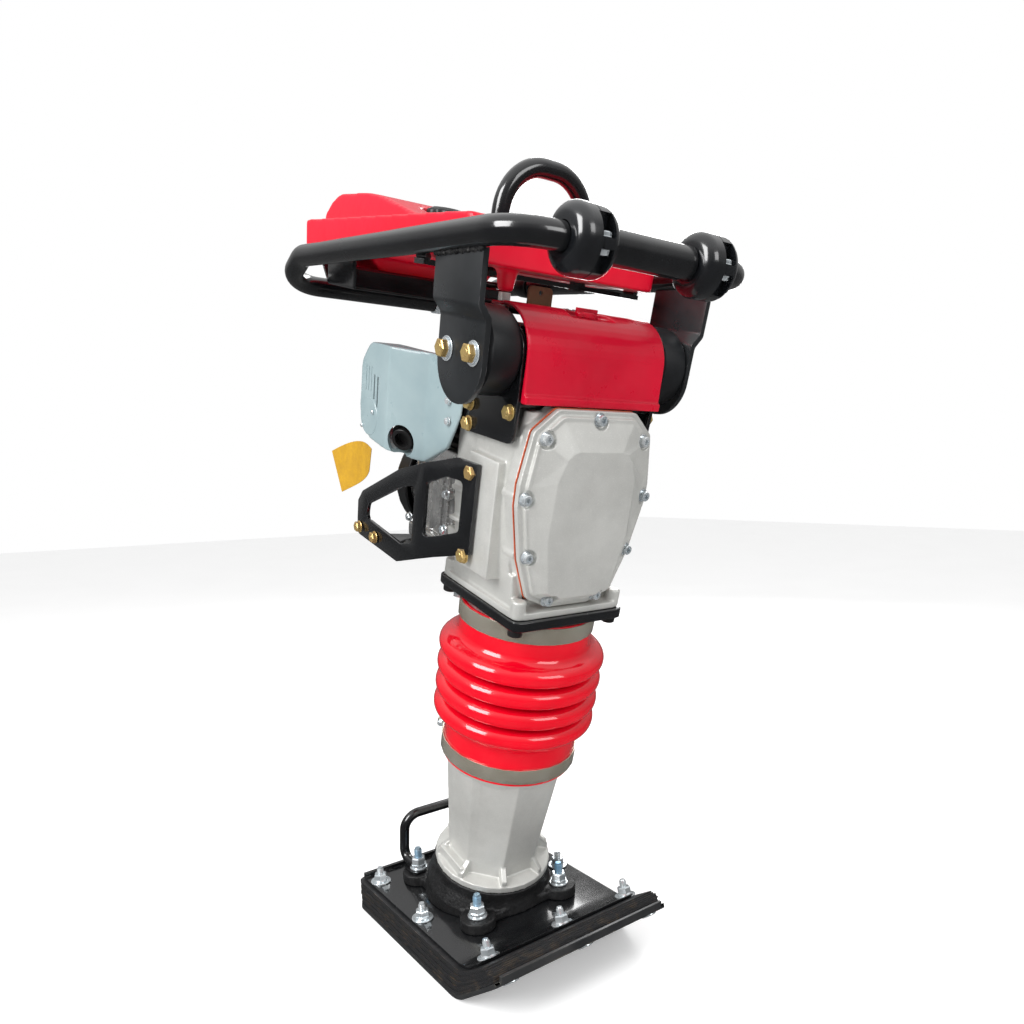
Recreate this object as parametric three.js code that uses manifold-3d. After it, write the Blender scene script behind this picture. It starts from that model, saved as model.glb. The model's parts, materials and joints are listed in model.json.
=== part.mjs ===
// Jumping jack rammer, built as separate pieces. Units are millimetres, +Z is up,
// the toe and the gearcase cover face -Y, and X = 0 is the plane of symmetry.
import * as THREE from 'three';
import { mergeVertices } from 'three/addons/utils/BufferGeometryUtils.js';
import Module from 'manifold-3d';

const wasm = await Module();
wasm.setup();

// ---- driving dimensions -------------------------------------------------
const LEAN = 15.34 * Math.PI / 180;   // forward lean of the body axis
const AXIS_Y = -69.5;                 // where the body axis meets the top of the shoe
const SHOE_TOP = 52.1;                // height of the shoe's flat top
const GAP = 0.4;                      // clearance between touching pieces

const SHOE = { width: 285, heel: 85.3, plate: 4, inset: 7, sole: 6, block: 47.7,
  bottom: [[-212, 0], [-299.5, 66.8]], top: [[-222, 47.7], [-287, 90.7]] };
const FOOT = { flangeW: 61, flangeR: 84, neckW: 245, topW: 272, neckR: 85.3, waistR: 67.5, topR: 83 };
const STUD = { x: 71, y: 84, r: 25 };
const SPRING = { tubeIn: 50, tubeOut: 55, bottom: 62, top: 440, coilR: 37, wire: 5.5 };
const GUIDE = { inner: 58, outer: 63, bottom: 300, collarR: 80, collarW: 441, top: 469.5 };
const BELLOWS = { lower: 250, upper: 467, waveR: 107, valleyR: 89, wall: 4, pitch: 29, waves: 4,
  firstW: 318 };
const CLAMP = { lowR: 92.4, upR: 86.8, width: 21 };
const PLATE = { w0: 470, w1: 482, x: 80, u: 85 };
const CASE = { front: -66, back: 62, top: 707, wall: 8 };
const COVER = { back: -68, front: -88 };
const GEAR = { module: 3, teeth: 38, pinion: 9, w: 632, u0: -38, u1: -20, throw: 14 };
const ROD = { length: 87, u0: -53, u1: -41 };
const SHAFT_W = GEAR.w - GEAR.module * (GEAR.teeth + GEAR.pinion) / 2;
const MOUNT = { u: -16, w: 757, r: 43, x0: 96, x1: 135.6 };
const BRACKET = { x: 136, t: 6 };
const HANDLE = { x: 152, tube: 12.5, frontU: -105, frontW: 866, rearU: 441, rearW: 778,
  bendU: 372, bendW: 814 };
const ROLLER = { x: 80, half: 24, r: 30.5 };
const TANK = { x: 128, rear: 430 };
const FILLER = { x: -34, u: 218, seat: 876, recess: 29, collar: 19 };
const BLOCK = { u0: 102, u1: 204, x: 60, w0: 508, w1: 622 };

// ---- colours --------------------------------------------------------------
const RING = 28;   // facets round the pieces that nest on the body axis
const COLOUR = {
  red: [0xc8102a, 0.4, 0.0], redRubber: [0xd00f24, 0.3, 0.0], black: [0x17181b, 0.45, 0.3],
  castIron: [0x141414, 0.8, 0.3], silver: [0xb7b6b1, 0.42, 0.8], steel: [0x9a9a98, 0.35, 0.9],
  inox: [0xc9c3b4, 0.25, 1.0], wood: [0x2a2420, 0.8, 0.0], rubber: [0x1a1b1d, 0.75, 0.0],
  plastic: [0x202124, 0.55, 0.0], greyBlue: [0xa9b7bd, 0.4, 0.0], orange: [0xc05a2c, 0.7, 0.0],
  yellow: [0xe0b818, 0.8, 0.0], paper: [0xc9b98a, 0.9, 0.0],
};

// ---- geometry helpers -----------------------------------------------------
function extrude(points, depth, holes = []) {
  const shape = new THREE.Shape(points.map(([a, b]) => new THREE.Vector2(a, b)));
  for (const hole of holes) {
    shape.holes.push(new THREE.Path(hole.map(([a, b]) => new THREE.Vector2(a, b))));
  }
  return new THREE.ExtrudeGeometry(shape, { depth, bevelEnabled: false, curveSegments: 1 });
}
// Outline in (x, y), from z0 to z1.
function prismZ(points, z0, z1, holes) {
  return extrude(points, z1 - z0, holes).translate(0, 0, z0);
}
// Outline in (y, z), from x0 to x1.
function prismX(points, xa, xb, holes) {
  const x0 = Math.min(xa, xb);
  const basis = new THREE.Matrix4().set(0, 0, 1, x0, 1, 0, 0, 0, 0, 1, 0, 0, 0, 0, 0, 1);
  return extrude(points, Math.abs(xb - xa), holes).applyMatrix4(basis);
}
// Outline in (x, z), from y0 to y1.
function prismY(points, y0, y1, holes) {
  const basis = new THREE.Matrix4().set(1, 0, 0, 0, 0, 0, -1, y1, 0, 1, 0, 0, 0, 0, 0, 1);
  return extrude(points, y1 - y0, holes).applyMatrix4(basis);
}
function box(x0, x1, y0, y1, z0, z1) {
  const geometry = new THREE.BoxGeometry(Math.abs(x1 - x0), y1 - y0, z1 - z0);
  return geometry.translate((x0 + x1) / 2, (y0 + y1) / 2, (z0 + z1) / 2);
}
function circle(cx, cy, r, n = 32, start = 0, sweep = 2 * Math.PI) {
  const full = Math.abs(sweep - 2 * Math.PI) < 1e-6;
  const count = full ? n : n + 1;
  return Array.from({ length: count }, (_, i) => {
    const a = start + sweep * i / n;
    return [cx + r * Math.cos(a), cy + r * Math.sin(a)];
  });
}
// Rounds every corner of a closed outline; a radius list gives each corner its own.
function rounded(points, radius, steps = 4) {
  const out = [];
  points.forEach((p, i) => {
    const r = Array.isArray(radius) ? radius[i] : radius;
    const a = points[(i + points.length - 1) % points.length];
    const b = points[(i + 1) % points.length];
    out.push(...corner(a, p, b, r, steps));
  });
  return out;
}
function corner(a, p, b, r, steps) {
  if (!r) return [p];
  const u = new THREE.Vector2(a[0] - p[0], a[1] - p[1]);
  const v = new THREE.Vector2(b[0] - p[0], b[1] - p[1]);
  const half = Math.acos(THREE.MathUtils.clamp(u.clone().normalize().dot(v.clone().normalize()), -1, 1)) / 2;
  const cut = Math.min(r / Math.tan(half), u.length() * 0.499, v.length() * 0.499);
  const s = u.normalize().multiplyScalar(cut);
  const e = v.normalize().multiplyScalar(cut);
  const out = [];
  for (let i = 0; i <= steps; i += 1) {
    const t = i / steps;
    const ws = (1 - t) * (1 - t);
    const we = t * t;
    out.push([p[0] + s.x * ws + e.x * we, p[1] + s.y * ws + e.y * we]);
  }
  return out;
}
// Ring or solid turned about the vertical axis; profile is a list of [radius, height].
function turned(profile, segments = 40) {
  const points = profile.map(([r, z]) => new THREE.Vector2(r, z));
  const closed = profile.every(([r]) => r > 1e-6);
  if (closed) points.push(points[0].clone());
  const geometry = new THREE.LatheGeometry(points, segments);
  return geometry.applyMatrix4(new THREE.Matrix4().makeRotationX(Math.PI / 2));
}
// Turns a piece built about +Z so that it lies about +X or +Y.
function alongX(geometry) {
  return geometry.applyMatrix4(new THREE.Matrix4().makeRotationY(Math.PI / 2));
}
function alongY(geometry) {
  return geometry.applyMatrix4(new THREE.Matrix4().makeRotationX(-Math.PI / 2));
}
function cylX(r, x0, x1, y, z, n = 20, inner = 0) {
  return alongX(turned(ringProfile(r, inner, x0, x1), n)).translate(0, y, z);
}
function cylY(r, y0, y1, x, z, n = 20, inner = 0) {
  return alongY(turned(ringProfile(r, inner, y0, y1), n)).translate(x, 0, z);
}
function cylZ(r, z0, z1, x, y, n = 20, inner = 0) {
  return turned(ringProfile(r, inner, z0, z1), n).translate(x, y, 0);
}
function ringProfile(r, inner, z0, z1) {
  if (inner > 0) return [[inner, z0], [r, z0], [r, z1], [inner, z1]];
  return [[0, z0], [r, z0], [r, z1], [0, z1]];
}
// Points of a polyline whose corners are rounded with the given radii.
function bent(points, radii, steps = 5) {
  const v = points.map((p) => new THREE.Vector3(...p));
  const out = [v[0]];
  for (let i = 1; i < v.length - 1; i += 1) {
    const r = Array.isArray(radii) ? radii[i - 1] : radii;
    out.push(...bend3(v[i - 1], v[i], v[i + 1], r, steps));
  }
  out.push(v[v.length - 1]);
  return out;
}
function bend3(a, p, b, r, steps) {
  const u = a.clone().sub(p);
  const v = b.clone().sub(p);
  const angle = u.angleTo(v);
  const cut = Math.min(r / Math.tan(angle / 2), u.length() * 0.49, v.length() * 0.49);
  const radius = cut * Math.tan(angle / 2);
  u.normalize();
  v.normalize();
  const centre = p.clone().addScaledVector(u.clone().add(v).normalize(), radius / Math.sin(angle / 2));
  const from = p.clone().addScaledVector(u, cut).sub(centre);
  const axis = from.clone().cross(p.clone().addScaledVector(v, cut).sub(centre)).normalize();
  const sweep = Math.PI - angle;
  return Array.from({ length: steps + 1 }, (_, i) => (
    from.clone().applyAxisAngle(axis, sweep * i / steps).add(centre)));
}
// Round bar or tube swept along points, capped at its ends or closed into a loop.
function sweep(points, radius, sides = 12, closed = false) {
  const count = points.length;
  const position = [];
  const index = [];
  let normal = null;
  const tangents = points.map((p, i) => {
    const before = closed ? points[(i + count - 1) % count] : points[Math.max(i - 1, 0)];
    const after = closed ? points[(i + 1) % count] : points[Math.min(i + 1, count - 1)];
    return after.clone().sub(before).normalize();
  });
  points.forEach((p, i) => {
    const t = tangents[i];
    if (!normal) normal = Math.abs(t.z) < 0.9 ? new THREE.Vector3(0, 0, 1) : new THREE.Vector3(1, 0, 0);
    normal = normal.clone().addScaledVector(t, -normal.dot(t)).normalize();
    const side = t.clone().cross(normal);
    for (let k = 0; k < sides; k += 1) {
      const a = 2 * Math.PI * k / sides;
      const q = p.clone().addScaledVector(normal, radius * Math.cos(a))
        .addScaledVector(side, radius * Math.sin(a));
      position.push(q.x, q.y, q.z);
    }
  });
  const rings = closed ? count : count - 1;
  for (let i = 0; i < rings; i += 1) {
    const j = (i + 1) % count;
    for (let k = 0; k < sides; k += 1) {
      const m = (k + 1) % sides;
      index.push(i * sides + k, i * sides + m, j * sides + m);
      index.push(i * sides + k, j * sides + m, j * sides + k);
    }
  }
  if (!closed) {
    for (let k = 1; k < sides - 1; k += 1) {
      index.push(0, k + 1, k);
      const last = (count - 1) * sides;
      index.push(last, last + k, last + k + 1);
    }
  }
  const geometry = new THREE.BufferGeometry();
  geometry.setAttribute('position', new THREE.Float32BufferAttribute(position, 3));
  geometry.setIndex(index);
  return geometry;
}

// ---- booleans -------------------------------------------------------------
function solid(geometry) {
  const bare = geometry.index ? geometry.toNonIndexed() : geometry.clone();
  bare.deleteAttribute('normal');
  bare.deleteAttribute('uv');
  const welded = mergeVertices(bare, 1e-3);
  const kept = [];
  const ids = welded.index.array;
  for (let i = 0; i < ids.length; i += 3) {
    const [a, b, c] = [ids[i], ids[i + 1], ids[i + 2]];
    if (a !== b && b !== c && a !== c) kept.push(a, b, c);
  }
  const mesh = new wasm.Mesh({
    numProp: 3, vertProperties: new Float32Array(welded.attributes.position.array),
    triVerts: new Uint32Array(kept),
  });
  mesh.merge();
  return new wasm.Manifold(mesh);
}
function geometryOf(manifold) {
  const mesh = manifold.getMesh();
  const geometry = new THREE.BufferGeometry();
  const position = new Float32Array(mesh.numVert * 3);
  for (let i = 0; i < mesh.numVert; i += 1) {
    for (let k = 0; k < 3; k += 1) position[i * 3 + k] = mesh.vertProperties[i * mesh.numProp + k];
  }
  geometry.setAttribute('position', new THREE.BufferAttribute(position, 3));
  geometry.setIndex(new THREE.BufferAttribute(new Uint32Array(mesh.triVerts), 1));
  return geometry;
}
function join(...pieces) {
  return geometryOf(pieces.map(solid).reduce((a, b) => a.add(b)));
}
function cut(base, ...tools) {
  return geometryOf(tools.map(solid).reduce((a, b) => a.subtract(b), solid(base)));
}
function common(a, b) {
  return geometryOf(solid(a).intersect(solid(b)));
}

// ---- frames and nodes -----------------------------------------------------
// Body coordinates are x, u (rearward) and w (up the leaning axis).
function lean(geometry) {
  return geometry.applyMatrix4(new THREE.Matrix4().makeRotationX(LEAN)).translate(0, AXIS_Y, SHOE_TOP);
}
const assembly = new THREE.Group();
assembly.name = 'jumping_jack_rammer';

function add(name, geometry, look) {
  const [color, roughness, metalness] = COLOUR[look];
  const bare = geometry.index ? geometry.toNonIndexed() : geometry;
  bare.deleteAttribute('uv');
  bare.computeVertexNormals();
  const mesh = new THREE.Mesh(bare, new THREE.MeshStandardMaterial({ color, roughness, metalness }));
  mesh.name = name;
  assembly.add(mesh);
}
function addBody(name, geometry, look) {
  add(name, lean(geometry), look);
}

// ---- shoe -----------------------------------------------------------------
// Side view of the ground face, or of the top face, from the heel to the toe, moved along
// each face's own normal. extra runs past the toe.
function shoePath([knee, tip], offset, height, extra = 0) {
  const rise = Math.atan2(tip[1] - knee[1], knee[0] - tip[0]);
  const up = [Math.sin(rise) * offset, Math.cos(rise) * offset];
  const bend = [knee[0] + Math.tan(rise / 2) * offset, knee[1] + offset];
  const end = [tip[0] + up[0] - Math.cos(rise) * extra, tip[1] + up[1] + Math.sin(rise) * extra];
  const heel = [SHOE.heel, height + offset];
  return [heel, ...corner(heel, bend, end, 60, 5), end];
}
// Layer between two side views, inset from the shoe's sides and heel, with rounded front corners.
function shoeLayer(low, high, inset, front, radius) {
  const w = SHOE.width / 2 - inset;
  const heel = SHOE.heel - inset;
  const plan = rounded([[-w, front], [w, front], [w, heel], [-w, heel]], [radius, radius, 12, 12]);
  return common(prismX([...low, ...high.reverse()], -w, w), prismZ(plan, -5, 140));
}
// Steel sole with the lip that stands up ahead of the wood.
function solePlate() {
  const w = SHOE.width / 2;
  const under = shoePath(SHOE.bottom, 0, 0, 6);
  const plate = shoeLayer(under, shoePath(SHOE.bottom, SHOE.sole, 0, 6), 0, -310, 16);
  const lip = prismX([[-304, 70.6], [-299.6, 67.2], [-299.6, 82], [-304, 82]], -w + 9, w - 9);
  return join(plate, lip);
}
function shoeBlock() {
  const under = shoePath(SHOE.bottom, SHOE.sole + GAP, 0);
  return shoeLayer(under, shoePath(SHOE.top, 0, SHOE.block), 0, -298, 12);
}
// Flat cover plate that reaches halfway up the toe, with the raised rim along its heel.
function shoeTop() {
  const w = SHOE.width / 2 - SHOE.inset;
  const heel = SHOE.heel - SHOE.inset;
  const rim = box(-w + 1, w - 1, heel - 6, heel - 0.5, SHOE_TOP - 3, SHOE_TOP + 6);
  const under = shoePath(SHOE.top, GAP, SHOE.block);
  const over = shoePath(SHOE.top, GAP + SHOE.plate, SHOE.block);
  const plate = shoeLayer(under, over, SHOE.inset, -253, 16);
  return join(plate, rim);
}
function footCasting() {
  const z0 = SHOE_TOP + GAP;
  const socket = lean(turned([[0, -60], [93, -60], [93, 24], [85.5, 46], [85.5, 60.4], [0, 60.4]], RING));
  const above = common(socket, box(-200, 200, -300, 200, z0, 400));
  const pad = prismZ(rounded([[-80, AXIS_Y - 92], [80, AXIS_Y - 92], [80, AXIS_Y + 92], [-80, AXIS_Y + 92]],
    24), z0, z0 + 12);
  const ears = [];
  for (const sx of [-1, 1]) {
    for (const sy of [-1, 1]) ears.push(cylZ(STUD.r, z0, z0 + 15, sx * STUD.x, AXIS_Y + sy * STUD.y, 16));
  }
  const pocket = lean(cylZ(46, 24, 70, 0, 0, 20));
  return cut(join(above, pad, ...ears), pocket);
}
function footHandle() {
  const path = bent([[-75, 18, 75.6], [-76, 52, 78], [-76, 42, 149], [76, 42, 149], [76, 52, 78],
    [75, 18, 75.6]], [16, 24, 24, 16], 3);
  const z = SHOE_TOP + GAP + 15 + GAP;
  const tabs = [-1, 1].map((s) => box(s * 75 - 12, s * 75 + 12, 0, 36, z, z + 4));
  const studs = [-1, 1].map((s) => cylZ(5.2, 60, 90, s * STUD.x, AXIS_Y + STUD.y, 12));
  return cut(join(sweep(path, 7.4, 8), ...tabs), ...studs);
}

// ---- foot cylinder, springs and bellows -------------------------------------
function footCylinder() {
  const bore = SPRING.tubeOut + GAP;
  const taper = turned([[0, 66], [FOOT.waistR + 1, 66], [FOOT.waistR, 92], [FOOT.topR, FOOT.neckW - 6],
    [0, FOOT.neckW - 6]], 8).applyMatrix4(new THREE.Matrix4().makeRotationZ(Math.PI / 8));
  const bars = [-1, 1].map((s) => box(s * 56, s * 75, -30, 30, FOOT.flangeW + 4, FOOT.flangeW + 24));
  const neck = turned([[0, FOOT.neckW - 14], [FOOT.topR - 6, FOOT.neckW - 14], [FOOT.neckR, FOOT.neckW - 3],
    [FOOT.neckR, FOOT.topW], [0, FOOT.topW]], RING);
  const flange = turned([[0, FOOT.flangeW], [FOOT.flangeR, FOOT.flangeW], [FOOT.flangeR, FOOT.flangeW + 9],
    [FOOT.waistR, FOOT.flangeW + 13], [0, FOOT.flangeW + 13]], RING);
  const ribs = Array.from({ length: 8 }, (_, i) => {
    const a = (i + 0.5) * Math.PI / 4;
    const rib = prismX([[50, 70], [82, 70], [82, 78], [62, 98], [50, 98]], -4, 4);
    return rib.applyMatrix4(new THREE.Matrix4().makeRotationZ(a));
  });
  return cut(join(taper, neck, flange, ...ribs, ...bars), cylZ(bore, 0, 400, 0, 0, RING));
}
function springCylinder() {
  const { tubeIn, tubeOut, bottom, top } = SPRING;
  return turned([[14, top - 12], [tubeIn, top - 12], [tubeIn, bottom], [tubeOut, bottom],
    [tubeOut, top], [14, top]], RING);
}
function coil(w0, w1, turns) {
  const n = turns * 9;
  const points = Array.from({ length: n + 1 }, (_, i) => {
    const a = 2 * Math.PI * turns * i / n;
    const w = w0 + (w1 - w0) * i / n;
    return new THREE.Vector3(SPRING.coilR * Math.cos(a), SPRING.coilR * Math.sin(a), w);
  });
  return sweep(points, SPRING.wire, 5);
}
function guideCylinder() {
  const { inner, outer, bottom, collarR, collarW, top } = GUIDE;
  return turned([[inner, bottom], [outer, bottom], [outer, collarW - 6], [collarR, collarW],
    [collarR, top], [inner, top]], RING);
}
function bellowsSide(inset) {
  const { lower, upper, waveR, valleyR, pitch, waves, firstW } = BELLOWS;
  const lowNeck = FOOT.neckR + GAP + BELLOWS.wall - inset;
  const upNeck = GUIDE.collarR + GAP + BELLOWS.wall - inset;
  const profile = [[lowNeck, lower - 4], [lowNeck, firstW - pitch * 0.62]];
  for (let i = 0; i < waves; i += 1) {
    const c = firstW + i * pitch;
    if (i > 0) profile.push([valleyR - inset, c - pitch / 2]);
    for (const [dr, dw] of [[0.7, -0.3], [1, 0], [0.7, 0.3]]) {
      profile.push([valleyR + (waveR - valleyR) * dr - inset, c + pitch * dw]);
    }
  }
  profile.push([upNeck, firstW + pitch * (waves - 1 + 0.62)], [upNeck, upper]);
  return profile;
}
function bellows() {
  return turned([...bellowsSide(BELLOWS.wall), ...bellowsSide(0).reverse()].reverse(), RING);
}
function clampBand(radius, w0, side) {
  const band = turned([[radius - 2, w0], [radius, w0], [radius, w0 + CLAMP.width],
    [radius - 2, w0 + CLAMP.width]], RING);
  const lug = box(-9, 9, radius - 1, radius + 12, w0 + 5, w0 + CLAMP.width - 5);
  return join(band, lug.applyMatrix4(new THREE.Matrix4().makeRotationZ(side)));
}

// ---- crankcase and its inside ----------------------------------------------
// Half outline of the cover and the case front, as [x, w] going up the right side.
const COVER_SIDE = [[30, 492], [62, 505], [80, 552], [92, 612], [92, 636], [82, 690], [54, 713]];
function faceOutline(grow) {
  const right = COVER_SIDE.map(([x, w]) => {
    const k = 1 + grow / Math.hypot(x, w - 605);
    return [x * k, 605 + (w - 605) * k];
  });
  const left = right.map(([x, w]) => [-x, w]).reverse();
  return [...right, ...left];
}
function crankcase() {
  const front = prismY(rounded(faceOutline(0), 8, 2), CASE.front, CASE.front + 16);
  const sides = [[70, 492], [80, 540], [86, 600], [86, 680], [70, CASE.top], [-70, CASE.top], [-86, 680],
    [-86, 600], [-80, 540], [-70, 492]];
  const hull = prismY(sides, CASE.front + 10, CASE.back);
  const base = prismZ(rounded([[-PLATE.x, -PLATE.u + 2], [PLATE.x, -PLATE.u + 2], [PLATE.x, PLATE.u],
    [-PLATE.x, PLATE.u]], 14, 3), PLATE.w1 + GAP, PLATE.w1 + 8.5);
  const hip = prismY([[74, 486], [78, 530], [-78, 530], [-74, 486]], CASE.front + 3, CASE.back);
  const bosses = [hip];
  for (const sx of [-1, 1]) {
    for (const sy of [-1, 1]) bosses.push(cylZ(9, PLATE.w1 + GAP, PLATE.w1 + 22, sx * 71, sy * 73, 14));
    bosses.push(box(sx * 96, sx * 78, -38, 20, 518, 650));
    for (const w of [560, 596]) bosses.push(box(sx * 90, sx * 80, 20, CASE.back, w, w + 5));
  }
  const inside = prismY([[58, 500], [72, 545], [78, 600], [78, 672], [62, 699], [-62, 699], [-78, 672],
    [-78, 600], [-72, 545], [-58, 500]], CASE.front - 30, CASE.back - 14);
  const hub = cylY(38, 26, CASE.back, 0, GEAR.w, 24);
  const shell = cut(join(front, hull, base, ...bosses), inside,
    cylZ(GUIDE.inner, 400, 510, 0, 0, 28));
  return cut(join(shell, common(hub, box(-60, 60, 20, 70, 540, 699.5))), cylY(30.4, 10, 46, 0, GEAR.w, 24),
    cylY(16, 0, 100, 0, SHAFT_W, 20));
}
function gasket() {
  return prismY(rounded(faceOutline(0.6), 8, 2), COVER.back + GAP, CASE.front - GAP,
    [rounded(faceOutline(-12), 8, 2)]);
}
function gearcaseCover() {
  const rim = prismY(rounded(faceOutline(0), 8, 2), COVER.back - 8, COVER.back);
  const raised = facetedDome();
  return join(rim, raised);
}
// Chamfered middle of the cover: a broad base narrowing to a flat central facet.
function facetedDome() {
  const outer = faceOutline(-13);
  const inner = [[34, 520], [50, 540], [60, 585], [64, 620], [60, 655], [46, 682], [30, 690]];
  const right = inner.map(([x, w]) => [x, w]);
  const top = [...right, ...right.map(([x, w]) => [-x, w]).reverse()];
  const position = [];
  const index = [];
  const n = outer.length;
  for (const [x, w] of outer) position.push(x, COVER.back - 6, w);
  for (const [x, w] of outer) position.push(x, COVER.back - 11, w);
  for (const [x, w] of top) position.push(x, COVER.front, w);
  for (let i = 0; i < n; i += 1) {
    const j = (i + 1) % n;
    for (let layer = 0; layer < 2; layer += 1) {
      const a = layer * n;
      index.push(a + i, a + j, a + n + j, a + i, a + n + j, a + n + i);
    }
    if (i > 0 && i < n - 1) {
      index.push(0, i + 1, i);
      index.push(2 * n, 2 * n + i, 2 * n + i + 1);
    }
  }
  const geometry = new THREE.BufferGeometry();
  geometry.setAttribute('position', new THREE.Float32BufferAttribute(position, 3));
  geometry.setIndex(index);
  return geometry;
}
function gearOutline(teeth, phase) {
  const pitch = GEAR.module * teeth / 2;
  const step = 2 * Math.PI / teeth;
  const points = [];
  for (let i = 0; i < teeth; i += 1) {
    const a = i * step + phase;
    const flank = [[pitch - 3.6, -0.3], [pitch + 2.4, -0.11], [pitch + 2.4, 0.11], [pitch - 3.6, 0.3]];
    for (const [r, f] of flank) {
      points.push([r * Math.cos(a + f * step), r * Math.sin(a + f * step)]);
    }
  }
  return points;
}
function crankGear() {
  const teeth = gearOutline(GEAR.teeth, -Math.PI / 2).map(([x, w]) => [x, w + GEAR.w]);
  const disc = prismY(teeth, GEAR.u0, GEAR.u1);
  const shaft = cylY(16, GEAR.u1 - 1, 44, 0, GEAR.w, 20);
  const pin = cylY(13, ROD.u0 - 4, GEAR.u0 + 1, 0, GEAR.w - GEAR.throw, 18);
  const head = cylY(17, ROD.u0 - 4, ROD.u0 - GAP, 0, GEAR.w - GEAR.throw, 18);
  return join(disc, shaft, pin, head);
}
function connectingRod() {
  const high = GEAR.w - GEAR.throw;
  const low = high - ROD.length;
  const blade = prismY([[-11, low + 6], [11, low + 6], [14, high - 10], [-14, high - 10]], ROD.u0, ROD.u1);
  const big = cylY(22, ROD.u0, ROD.u1, 0, high, 24);
  const small = cylY(15, ROD.u0, ROD.u1, 0, low, 20);
  return cut(join(blade, big, small), cylY(13.4, -90, 0, 0, high, 18), cylY(7, -90, 0, 0, low, 14));
}
function pistonRod() {
  const top = GEAR.w - GEAR.throw - ROD.length - 15 - GAP;
  const head = cylZ(44, top - 22, top, 0, 0, 24);
  const rod = cylZ(13, 262, top - 10, 0, 0, 18);
  const disc = cylZ(47, 248, 264, 0, 0, 28);
  return join(head, rod, disc);
}
function pinionDrum() {
  const phase = Math.PI / 2 + Math.PI / GEAR.pinion;
  const teeth = gearOutline(GEAR.pinion, phase).map(([x, w]) => [x, w + SHAFT_W]);
  const pinion = prismY(teeth, GEAR.u0 + 1, GEAR.u1 - 1);
  const shaft = cylY(9, GEAR.u1 - 2, 68, 0, SHAFT_W, 16);
  const drum = cut(cylY(42, 66, 96, 0, SHAFT_W, 28), cylY(38, 70, 100, 0, SHAFT_W, 28));
  return join(pinion, shaft, drum);
}
function clutchHousing() {
  const ring = cylY(56, CASE.back + GAP, BLOCK.u0 - GAP, 0, SHAFT_W, 28);
  const feet = box(-66, 66, CASE.back + GAP, BLOCK.u0 - GAP, SHAFT_W - 36, SHAFT_W - 24);
  return cut(join(ring, feet), cylY(46, CASE.back + 3, 110, 0, SHAFT_W, 28),
    cylY(14, 50, 110, 0, SHAFT_W, 16));
}

// ---- engine -----------------------------------------------------------------
function engineShaft() {
  const shaft = cylY(10, 80, 244, 0, SHAFT_W, 18);
  const rotor = cylY(18, 76, 94, 0, SHAFT_W, 18);
  const shoes = [0, 1, 2].map((i) => {
    const start = i * 2 * Math.PI / 3;
    const outer = circle(0, 0, 36.5, 5, start, 1.7);
    const inner = circle(0, 0, 15, 5, start, 1.7).reverse();
    return prismY([...outer, ...inner].map(([x, w]) => [x, w + SHAFT_W]), 78, 92);
  });
  const wheel = cylY(58, 212, 220, 0, SHAFT_W, 24);
  const blades = Array.from({ length: 8 }, (_, i) => {
    const blade = prismY([[22, -1.5], [56, -1.5], [56, 1.5], [22, 1.5]], 218, 232);
    return blade.applyMatrix4(new THREE.Matrix4().makeRotationY(i * Math.PI / 4)).translate(0, 0, SHAFT_W);
  });
  return join(shaft, rotor, ...shoes, wheel, ...blades);
}
function engineBlock() {
  const { u0, u1, x, w0, w1 } = BLOCK;
  const crankBox = prismY(rounded([[-x, w0], [x, w0], [x, w1 - 20], [x - 14, w1], [-x + 14, w1],
    [-x, w1 - 20]],
    6, 2), u0, u1);
  const foot = box(-x - 12, x + 12, u0 + 10, u1 - 12, w0 - 10, w0 + 8);
  const rib = box(-x - 3, x + 3, u0 + 46, u0 + 52, w0, w1 - 24);
  return cut(join(crankBox, foot, rib), cylY(10.6, 60, 300, 0, SHAFT_W, 18),
    cylY(40, u0 + 10, u1 - 10, 0, SHAFT_W, 24));
}
function cylinderFins() {
  const core = box(-34, 34, 122, 188, BLOCK.w1 + GAP, 706);
  const fins = [];
  for (let w = 630; w < 700; w += 12) fins.push(box(-50, 48, 112, 198, w, w + 4));
  return join(core, ...fins);
}
function rockerCover() {
  return join(prismZ(rounded([[-38, 118], [38, 118], [38, 192], [-38, 192]], 10, 3), 706 + GAP, 722),
    prismZ(rounded([[-32, 124], [32, 124], [32, 186], [-32, 186]], 10, 3), 720, 734));
}
function mufflerBody() {
  const can = prismX(rounded([[70, 652], [190, 652], [190, 722], [70, 722]], 16, 2), -122, -84);
  const port = box(-86, -50.5, 140, 168, 668, 696);
  const tail = cut(cylX(13, -137, -106, 120, 636, 20), cylX(9, -140, -112, 120, 636, 20));
  const elbow = box(-112, -104, 108, 132, 630, 656);
  return join(can, port, elbow, tail);
}
// Outline of the muffler cover seen from its side, as [u, w].
const COVER_OUTLINE = [[34, 740], [200, 736], [222, 712], [224, 650], [196, 624], [104, 615], [60, 642],
  [40, 682]];
function mufflerCover() {
  const skin = prismX(rounded(COVER_OUTLINE, [16, 22, 20, 24, 22, 20, 12, 10], 3), -134, -97);
  const hollow = prismX(rounded([[40, 733], [196, 729], [215, 708], [217, 653], [193, 631], [107, 622],
    [67, 647], [47, 684]], 14, 3), -130, -60);
  const outlet = cylX(15.5, -150, -96, 120, 636, 16);
  const slots = [150, 166].map((u) => box(-140, -128, u - 3.5, u + 3.5, 668, 704));
  return cut(skin, hollow, outlet, ...slots);
}
function carburettor() {
  const bowl = cylZ(17, 634, 656, 78, 150, 18);
  const body = box(62, 96, 130, 170, 654, 684);
  const flange = box(48.6, 64, 138, 162, 656, 682);
  const spigot = cylY(13, 106, 132, 80, 669, 18);
  return join(bowl, body, flange, spigot);
}
function intakeElbow() {
  const path = bent([[80, 105.4, 669], [80, 80, 669], [60, 80, 752], [60, 56.6, 752]], [16, 16], 4);
  return sweep(path, 12, 12);
}
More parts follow.
